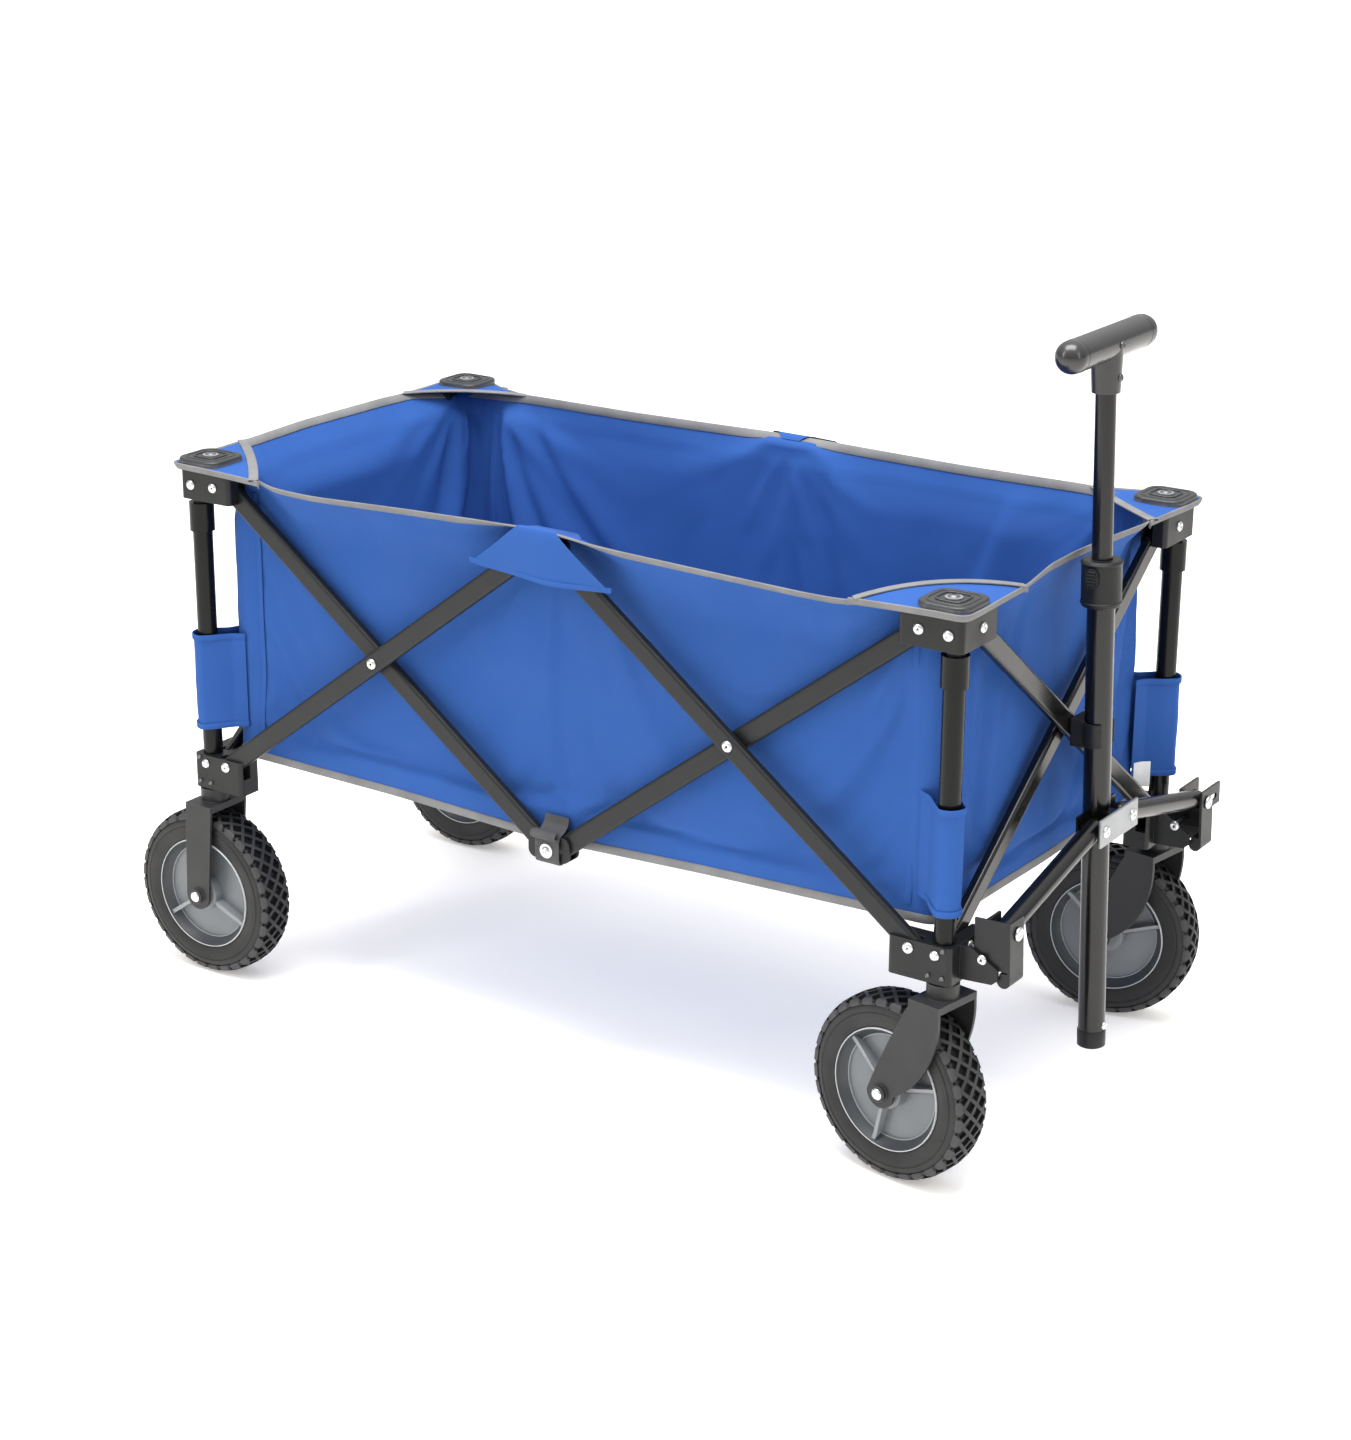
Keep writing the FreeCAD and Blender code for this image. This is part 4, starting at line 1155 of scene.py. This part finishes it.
@dataclass
class Wheel:
    """A treaded tyre on a moulded hub.

    Attributes:
        corner: The corner that it belongs to.
        spoke_turn: Angle of its first spoke in degrees.
    """

    corner: Corner
    spoke_turn: float
    cells: int = 32

    # How the tread's middle line wraps from the crown over the shoulder: distance along it, half width, radius.
    SECTION = np.array([(0, 0, 0.0890), (7, 7.0, 0.0889), (12, 11.9, 0.0884), (16, 15.6, 0.0870), (19, 18.0, 0.0853),
                        (22, 19.6, 0.0828), (25, 20.4, 0.0800), (28, 20.8, 0.0770)]) * (MM, MM, 1)

    def axle(self) -> tuple[Vector, Matrix]:
        """Returns the wheel's middle and the turn of its own frame, from its CAD tyre."""
        low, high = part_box(f"tyre_{self.corner.name}")
        turn = math.radians(-9 * self.corner.side.sign * -1) if self.corner.end is End.FRONT else 0.0
        return (low + high) / 2, Matrix.Rotation(turn, 3, "Z")

    def placed(self, points: Array) -> Array:
        """Turns points from the wheel's own frame, with Y along the axle, to the row frame."""
        middle, turn = self.axle()
        return points @ np.array(turn).T + np.array(middle)

    def on_tread(self, turn: Array, across: Array, sunk: Array) -> Array:
        """Returns points on the tread.

        Args:
            turn: Angle round the wheel in radians.
            across: Distance across the tread from its middle line, over the shoulder, in metres.
            sunk: Depth below the tread's top, in metres.
        """
        reach = np.abs(across)
        width = np.interp(reach, self.SECTION[:, 0], self.SECTION[:, 1])
        radius = np.interp(reach, self.SECTION[:, 0], self.SECTION[:, 2])
        lean = smooth_step(reach, 0.010, 0.026) * math.pi / 2
        radius = radius - sunk * np.cos(lean)
        width = width - sunk * np.sin(lean)
        return np.stack([radius * np.cos(turn), np.sign(across) * width, radius * np.sin(turn)], -1)

    def tread(self) -> bpy.types.Object:
        """Makes the diamond lattice: raised ribs, their tops painted paler as a highlight, round sunk four-sided pits
        painted darker as shade.
        """
        pitch, half = math.tau / self.cells, 0.0084
        points, tops, pits = [], [], []
        inset = ((1.0, 0.0), (0.72, 0.0), (0.58, 0.0030), (0.0, 0.0032))
        for row in range(-2, 3):
            for cell in range(self.cells):
                turn0 = (cell + 0.5 * (row % 2)) * pitch
                base = len(points)
                for scale, sunk in inset[:3]:
                    for dt, da in ((1, 0), (0, 1), (-1, 0), (0, -1)):
                        points.append(self.on_tread(turn0 + dt * scale * pitch / 2, row * half + da * scale * half, sunk))
                points.append(self.on_tread(turn0, row * half + 1e-6, inset[3][1]))
                for ring, faces in ((0, tops), (4, pits)):
                    faces += [(base + ring + i, base + ring + (i + 1) % 4, base + ring + 4 + (i + 1) % 4, base + ring + 4 + i)
                              for i in range(4)]
                pits += [(base + 8 + i, base + 8 + (i + 1) % 4, base + 12) for i in range(4)]
        placed = self.placed(np.array(points))
        return joined("tread", [mesh_object("tops", placed, tops, RIB_TOPS_HIGHLIGHT, 30), mesh_object("pits", placed, pits, PITS_SHADE, 30)])

    def lugs(self) -> bpy.types.Object:
        """Makes the shoulder lugs that scallop the tyre's edge and end on the sidewall."""
        pitch = math.tau / self.cells
        points, faces = [], []
        for side in (-1, 1):
            for cell in range(self.cells):
                middle = (cell + 0.5) * pitch
                base = len(points)
                for reach, wide, up in ((0.0165, 0.24, 0.0000), (0.0190, 0.34, -0.0003), (0.0215, 0.36, -0.0002),
                                        (0.0245, 0.34, 0.0006)):
                    for part, sunk in ((-1.30, 0.0028), (-1, up), (1, up), (1.30, 0.0028)):
                        points.append(self.on_tread(middle + part * wide * pitch, side * reach, sunk))
                faces += [tuple(base + i for i in quad) for quad in grid_faces(4, 4)]
                faces += [(base, base + 1, base + 2, base + 3), (base + 12, base + 13, base + 14, base + 15)]
        return mesh_object("lugs", self.placed(np.array(points)), faces, RUBBER, 30)

    def carcass(self) -> bpy.types.Object:
        """Makes the tyre's body under the tread: a crowned ring with a ribbed sidewall."""
        side = [(58.2, 17.6), (59.0, 18.6), (61.5, 19.4), (66, 20.3), (70, 20.6), (72.6, 20.5), (73.2, 19.9), (74.0, 19.9),
                (74.6, 20.4), (77.0, 20.2), (79.5, 19.2), (82.2, 17.4), (84.2, 14.0), (85.4, 9.0), (85.9, 3.0)]
        outline = np.array([(y * MM, r * MM) for r, y in side] + [(-y * MM, r * MM) for r, y in reversed(side)])
        angles = np.linspace(0, math.tau, 96, endpoint=False)
        points = np.array([[(r * math.cos(a), y, r * math.sin(a)) for a in angles] for y, r in outline]).reshape(-1, 3)
        return mesh_object("carcass", self.placed(points), grid_faces(len(outline), 96, wrap=True), RUBBER, 40)

    def ring(self, name: str, outline: Sequence[tuple[float, float]], finish: Finish) -> bpy.types.Object:
        """Makes a closed ring round the axle from (radius, height along the axle) pairs in millimetres."""
        angles = np.linspace(0, math.tau, 72, endpoint=False)
        closed = [*outline, outline[0]]
        points = np.array([[(r * MM * math.cos(a), y * MM, r * MM * math.sin(a)) for a in angles] for r, y in closed])
        return mesh_object(name, self.placed(points.reshape(-1, 3)), grid_faces(len(closed), 72, wrap=True), finish, 40)

    def hub(self) -> list[bpy.types.Object]:
        """Makes the hub's web and boss, then each face's drafted flange painted darker as shade, its edge painted
        bright as a highlight, and three spokes.
        """
        web = [(12.0, 20.6), (16.4, 20.6), (17.6, 19.8), (18.4, 9.0), (51.0, 9.0)]
        made = [self.ring("web", [(5.4, -20.6), (5.4, 20.6), *web, *((r, -y) for r, y in reversed(web))], HUB)]
        for k, s in (("a", -1), ("b", 1)):
            made.append(self.ring(f"rim_{k}", [(57.9, s * 16.0), (57.9, s * 20.0), (58.5, s * 20.2), (59.0, s * 19.4),
                                               (59.0, s * 16.0)], HUB_RIM_HIGHLIGHT))
            made.append(self.ring(f"flange_{k}", [(50.4, s * 0.0), (50.4, s * 10.6), (51.4, s * 11.6), (55.6, s * 15.8),
                                                  (57.2, s * 19.6), (58.1, s * 19.6), (58.1, s * 0.0)], HUB_FLANGE_SHADE))
            made.append(self.ring(f"step_{k}", [(49.6, s * 8.9), (49.8, s * 11.0), (50.8, s * 11.0), (51.0, s * 8.9)], HUB_RIB))
            for i in range(3):
                turn = math.radians(self.spoke_turn + 120 * i)
                rib = [(14.0, 19.0), (50.0, 16.8), (57.0, 17.6), (57.0, 8.9), (14.0, 8.9)]
                loop = np.array([(r * MM, s * y * MM) for r, y in rib])
                corners = [(r * math.cos(turn) - w * math.sin(turn), y, r * math.sin(turn) + w * math.cos(turn))
                           for w in (-0.0021, 0.0021) for r, y in loop]
                n = len(rib)
                faces = [tuple(range(n)), tuple(range(2 * n - 1, n - 1, -1))]
                faces += [(j, (j + 1) % n, n + (j + 1) % n, n + j) for j in range(n)]
                spoke = mesh_object(f"spoke_{k}_{i}", self.placed(np.array(corners)), faces, HUB_RIB, 40)
                made.append(bevelled(spoke, 0.0007))
        return made

    def build(self) -> None:
        """Makes the tyre and the hub's detail on the wheel's body."""
        name, body = self.corner.name, f"{self.corner.name}_wheel"
        tyre = joined(f"treaded_tyre_{name}", [self.carcass(), self.tread(), self.lugs()])
        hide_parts(f"tyre_{name}")
        hub = joined(f"moulded_hub_{name}", self.hub())
        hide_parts(f"hub_{name}")
        for piece, slot in ((tyre, Slot.TYRE), (hub, Slot.HUB)):
            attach(piece, body)
        middle, turn = self.axle()
        out = turn @ Vector((0, 1, 0))
        fork = f"{name}_base" if self.corner.end is End.REAR else f"{name}_fork"
        for k, s in (("inner", -1), ("outer", 1)):
            nut = turned(f"axle_nut_{name}_{k}", [(-0.0005, 0.0066), (0.0008, 0.0066), (0.0012, 0.0060), (0.0046, 0.0056),
                                                  (0.0056, 0.0044), (0.0058, 0.0)], middle + out * (s * 0.0276), out * s,
                         ZINC, 18)
            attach(nut, fork)


# ---------------------------------------------------------------- the handle


TILT_AXIS = Vector((MIDDLE_X + 0.4655, 0, 0.2325))
LEAN = Matrix.Rotation(math.radians(-1.9), 3, "Y")


def leant(x: float, y: float, z: float) -> Vector:
    """Returns a point that is given for the upright handle, leant back with it. Millimetres in, metres out."""
    return LEAN @ (Vector((MIDDLE_X + x * MM, y * MM, z * MM)) - TILT_AXIS) + TILT_AXIS


def handle_detail() -> None:
    """Makes the zinc plate, rivets, end cap, button ribs and grip screws of the handle."""
    ahead, right = LEAN @ Vector((1, 0, 0)), Vector((0, -1, 0))
    plate = box_mesh("handle_plate", Vector((0.4900, -0.0385, 0.2840)), Vector((0.4928, 0.0385, 0.3110)), ZINC_PLATE, 0.0009)
    plate.data.transform(Matrix.Translation((MIDDLE_X, 0, 0)))
    plate.data.transform(Matrix.Translation(TILT_AXIS) @ LEAN.to_4x4() @ Matrix.Translation(-TILT_AXIS))
    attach(plate, "handle_lower")
    Rivets.seat("handle_lower", "handle_plate_rivets", [(leant(492.8, y, 297.5), ahead, 0.0058) for y in (-27.5, 27.5)])
    Rivets.seat("handle_lower", "handle_foot_rivet", [(leant(468.8 + 12.7, 0, 92), ahead, 0.0040)])
    foot = turned("handle_foot_cap", [(-0.0040, 0.0), (-0.0040, 0.0118), (-0.0030, 0.0134), (0.0120, 0.0136),
                                      (0.0132, 0.0130)], leant(468.8, 0, 74), LEAN @ Vector((0, 0, 1)), MOULDED, 40)
    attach(foot, "handle_lower")
    ribs = [box_mesh(f"rib_{i}", leant(468.8 - w, -22.3, z - 0.7), leant(468.8 + w, -21.4, z + 0.7), MOULDED, 0.0003)
            for i, (z, w) in enumerate(((526, 3.4), (529, 4.6), (532, 5.0), (535, 4.6), (538, 3.4)))]
    button = joined("lock_button_ribs", ribs)
    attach(button, "lock_button")
    collar = [turned(f"collar_{i}", [(-0.0012, 0.0186), (-0.0006, 0.0192), (0.0006, 0.0192), (0.0012, 0.0186)],
                     leant(468.8, 0, z), LEAN @ Vector((0, 0, 1)), MOULDED, 48) for i, z in enumerate((506.5, 543.0))]
    collars = joined("lock_collar_beads", collar)
    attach(collars, "handle_lower")
    Rivets.seat("handle_upper", "grip_screws", [(leant(468.8 + 14.9, 0, 741), ahead, 0.0036),
                                                (leant(468.8 + 13.6, 0, 712), ahead, 0.0036)], DARK_SCREW)
    seams = [turned(f"grip_seam_{i}", [(-0.0006, 0.0150), (-0.0004, 0.01525), (0.0004, 0.01525), (0.0006, 0.0150)],
                    leant(468.8, y, 741), right, SOFT_GRIP, 40) for i, y in enumerate((-62, 62))]
    seam = joined("grip_seams", seams)
    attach(seam, "handle_upper")


def tilt_rivets() -> None:
    """Seats the rivets of the lugs, the tilting brackets and the yoke arms."""
    for side in Side:
        s = side.sign
        Rivets.seat(f"front_{side.value}_base", f"rivets_lug_{side.value}", [
            (Vector((MIDDLE_X + 0.4655, s * 0.2131, 0.2325)), Vector((0, s, 0)), 0.0050),
            (Vector((MIDDLE_X + 0.4655, s * 0.1794, 0.2325)), Vector((0, -s, 0)), 0.0050)])
        low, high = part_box(f"tilt_bracket_{side.value}")
        Rivets.seat(f"tilt_bracket_{side.value}", f"rivet_arm_{side.value}",
                    [(Vector((high.x, s * 0.196, 0.2575)), Vector((1, 0, 0)), 0.0066)])


# ---------------------------------------------------------------- dressing the frame, the studio


FINISH_OF = {Slot.STEEL: POWDER, Slot.GLOSS: GLOSS, Slot.NYLON: MOULDED, Slot.CAP: CAP, Slot.TYRE: RUBBER,
             Slot.HUB: HUB, Slot.CLOTH: POLYESTER, Slot.GRIP: SOFT_GRIP}
FINISH_OF_KIND = {"fork": FORK_COAT, "post": POST_COAT_SHADED}


def dress_frame(frame: dict) -> None:
    """Gives every CAD node the finish of its material slot."""
    slots = {part["node"]: Slot(part["material_slot"]) for part in frame["record"]["subparts"]}
    for name, node in frame["nodes"].items():
        material = Palette.get(FINISH_OF_KIND.get(name.split("_")[0], FINISH_OF[slots[name]]))
        for place in node.material_slots:
            place.link = "OBJECT"
            place.material = material
    LOG.info("dressed %d nodes", len(frame["nodes"]))


@dataclass(frozen=True)
class Studio:
    """A pale floor, soft lights and the camera."""

    position: tuple[float, float, float] = (1.607, -2.368, 1.302)
    azimuth: float = 33.93
    elevation: float = 19.35
    roll: float = 0.32
    lens: float = 75.25

    def floor(self) -> None:
        """Makes the plain floor, which reaches past every view."""
        paper = Finish("paper_backdrop_matte", "#f8f6f1", 0.9, patch=0.0, specular=0.1)
        corners = [(x, y, 0.0) for y in (-200, 200) for x in (-200, 200)]
        made = mesh_object("studio_floor", np.array(corners), [(0, 1, 3, 2)], paper)
        shader = next(n for n in made.data.materials[0].node_tree.nodes if n.type == "BSDF_PRINCIPLED")
        shader.inputs["Emission Color"].default_value = (1.0, 0.97, 0.96, 1.0)
        shader.inputs["Emission Strength"].default_value = 0.30
        made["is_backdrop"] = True

    def light(self, name: str, place: Vector, target: Vector, size: tuple[float, float], power: float) -> None:
        """Adds one soft rectangular light."""
        data = bpy.data.lights.new(name, "AREA")
        data.shape, data.size, data.size_y, data.energy = "RECTANGLE", *size, power
        made = bpy.data.objects.new(name, data)
        made.location = place
        made.rotation_euler = (target - place).to_track_quat("-Z", "Y").to_euler()
        bpy.context.scene.collection.objects.link(made)
        made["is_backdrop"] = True

    def camera(self) -> None:
        """Places the camera."""
        az, el, roll = map(math.radians, (self.azimuth, self.elevation, self.roll))
        back = Vector((math.sin(az) * math.cos(el), -math.cos(az) * math.cos(el), math.sin(el)))
        right = Vector((math.cos(az), math.sin(az), 0))
        up = back.cross(right)
        right, up = right * math.cos(roll) + up * math.sin(roll), up * math.cos(roll) - right * math.sin(roll)
        data = bpy.data.cameras.new("camera")
        data.lens, data.sensor_fit, data.sensor_height = self.lens, "VERTICAL", 36
        made = bpy.data.objects.new("camera", data)
        made.matrix_world = Matrix((right, up, back)).transposed().to_4x4()
        made.location = self.position
        bpy.context.scene.collection.objects.link(made)
        bpy.context.scene.camera = made

    def build(self) -> None:
        """Sets up everything that isn't the wagon."""
        scene = bpy.context.scene
        scene.view_settings.view_transform = "Standard"
        world = bpy.data.worlds.new("studio_air")
        world.use_nodes = True
        world.node_tree.nodes.clear()
        heading = add(world.node_tree, "ShaderNodeTexCoord").outputs["Generated"]
        height = add(world.node_tree, "ShaderNodeSeparateXYZ", {"Vector": heading}).outputs["Z"]
        level = add(world.node_tree, "ShaderNodeMapRange", {"Value": height, "From Min": 0.0, "From Max": 0.9,
                                                            "To Min": 0.38, "To Max": 1.5})
        glow = add(world.node_tree, "ShaderNodeBackground", {"Color": (1.0, 1.0, 1.0, 1.0), "Strength": level.outputs[0]})
        add(world.node_tree, "ShaderNodeOutputWorld", {"Surface": glow.outputs[0]})
        scene.world = world
        self.floor()
        middle = Vector((0, 0, 0.35))
        self.light("key", Vector((-1.4, -2.6, 2.0)), middle, (0.25, 2.2), 24)
        self.light("fill", Vector((3.0, -0.6, 1.8)), middle, (0.35, 2.0), 10)
        self.light("top", Vector((0.2, -0.5, 3.0)), middle, (2.4, 1.4), 102)
        self.camera()


def note_sizes(sizes: dict, when: str) -> None:
    """Notes the model's bounds under a name in the sizes dictionary."""
    low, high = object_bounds()
    sizes[when] = [list(low), list(high)]


def main() -> None:
    """Builds the wagon's looks."""
    logging.basicConfig(level=logging.INFO, format="%(message)s")
    sizes: dict = {}
    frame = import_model()
    note_sizes(sizes, "frame")
    dress_frame(frame)
    Tub().build()
    leans = {("rear", "right"): (0.036, 0.036), ("rear", "left"): (0.006, 0.034),
             ("front", "right"): (0.037, 0.034), ("front", "left"): (0.018, 0.032)}
    gusset_edge = {"front_right": (0.012, 0.006), "rear_left": (-0.004, 0.003), "rear_right": (0.004, 0.001),
                   "front_left": (0.004, 0.001)}
    for corner in CORNERS:
        side_lean, end_lean = leans[corner.end.value, corner.side.value]
        Gusset(corner, 0.095, 0.092, side_lean, end_lean, *gusset_edge[corner.name]).build()
        Sleeve(corner, tag=corner.name == "front_left").build()
        corner_rivets(corner)
        cap_detail(corner)
    for side in Side:
        Flap(side).build()
        HingeTab(side).build()
    turns = {"front_right": 16, "rear_right": 215, "front_left": 138, "rear_left": 60}
    for corner in CORNERS:
        Wheel(corner, turns[corner.name]).build()
    crossing_rivets()
    tilt_rivets()
    handle_detail()
    Studio().build()
    note_sizes(sizes, "dressed")


if __name__ == "__main__":
    main()
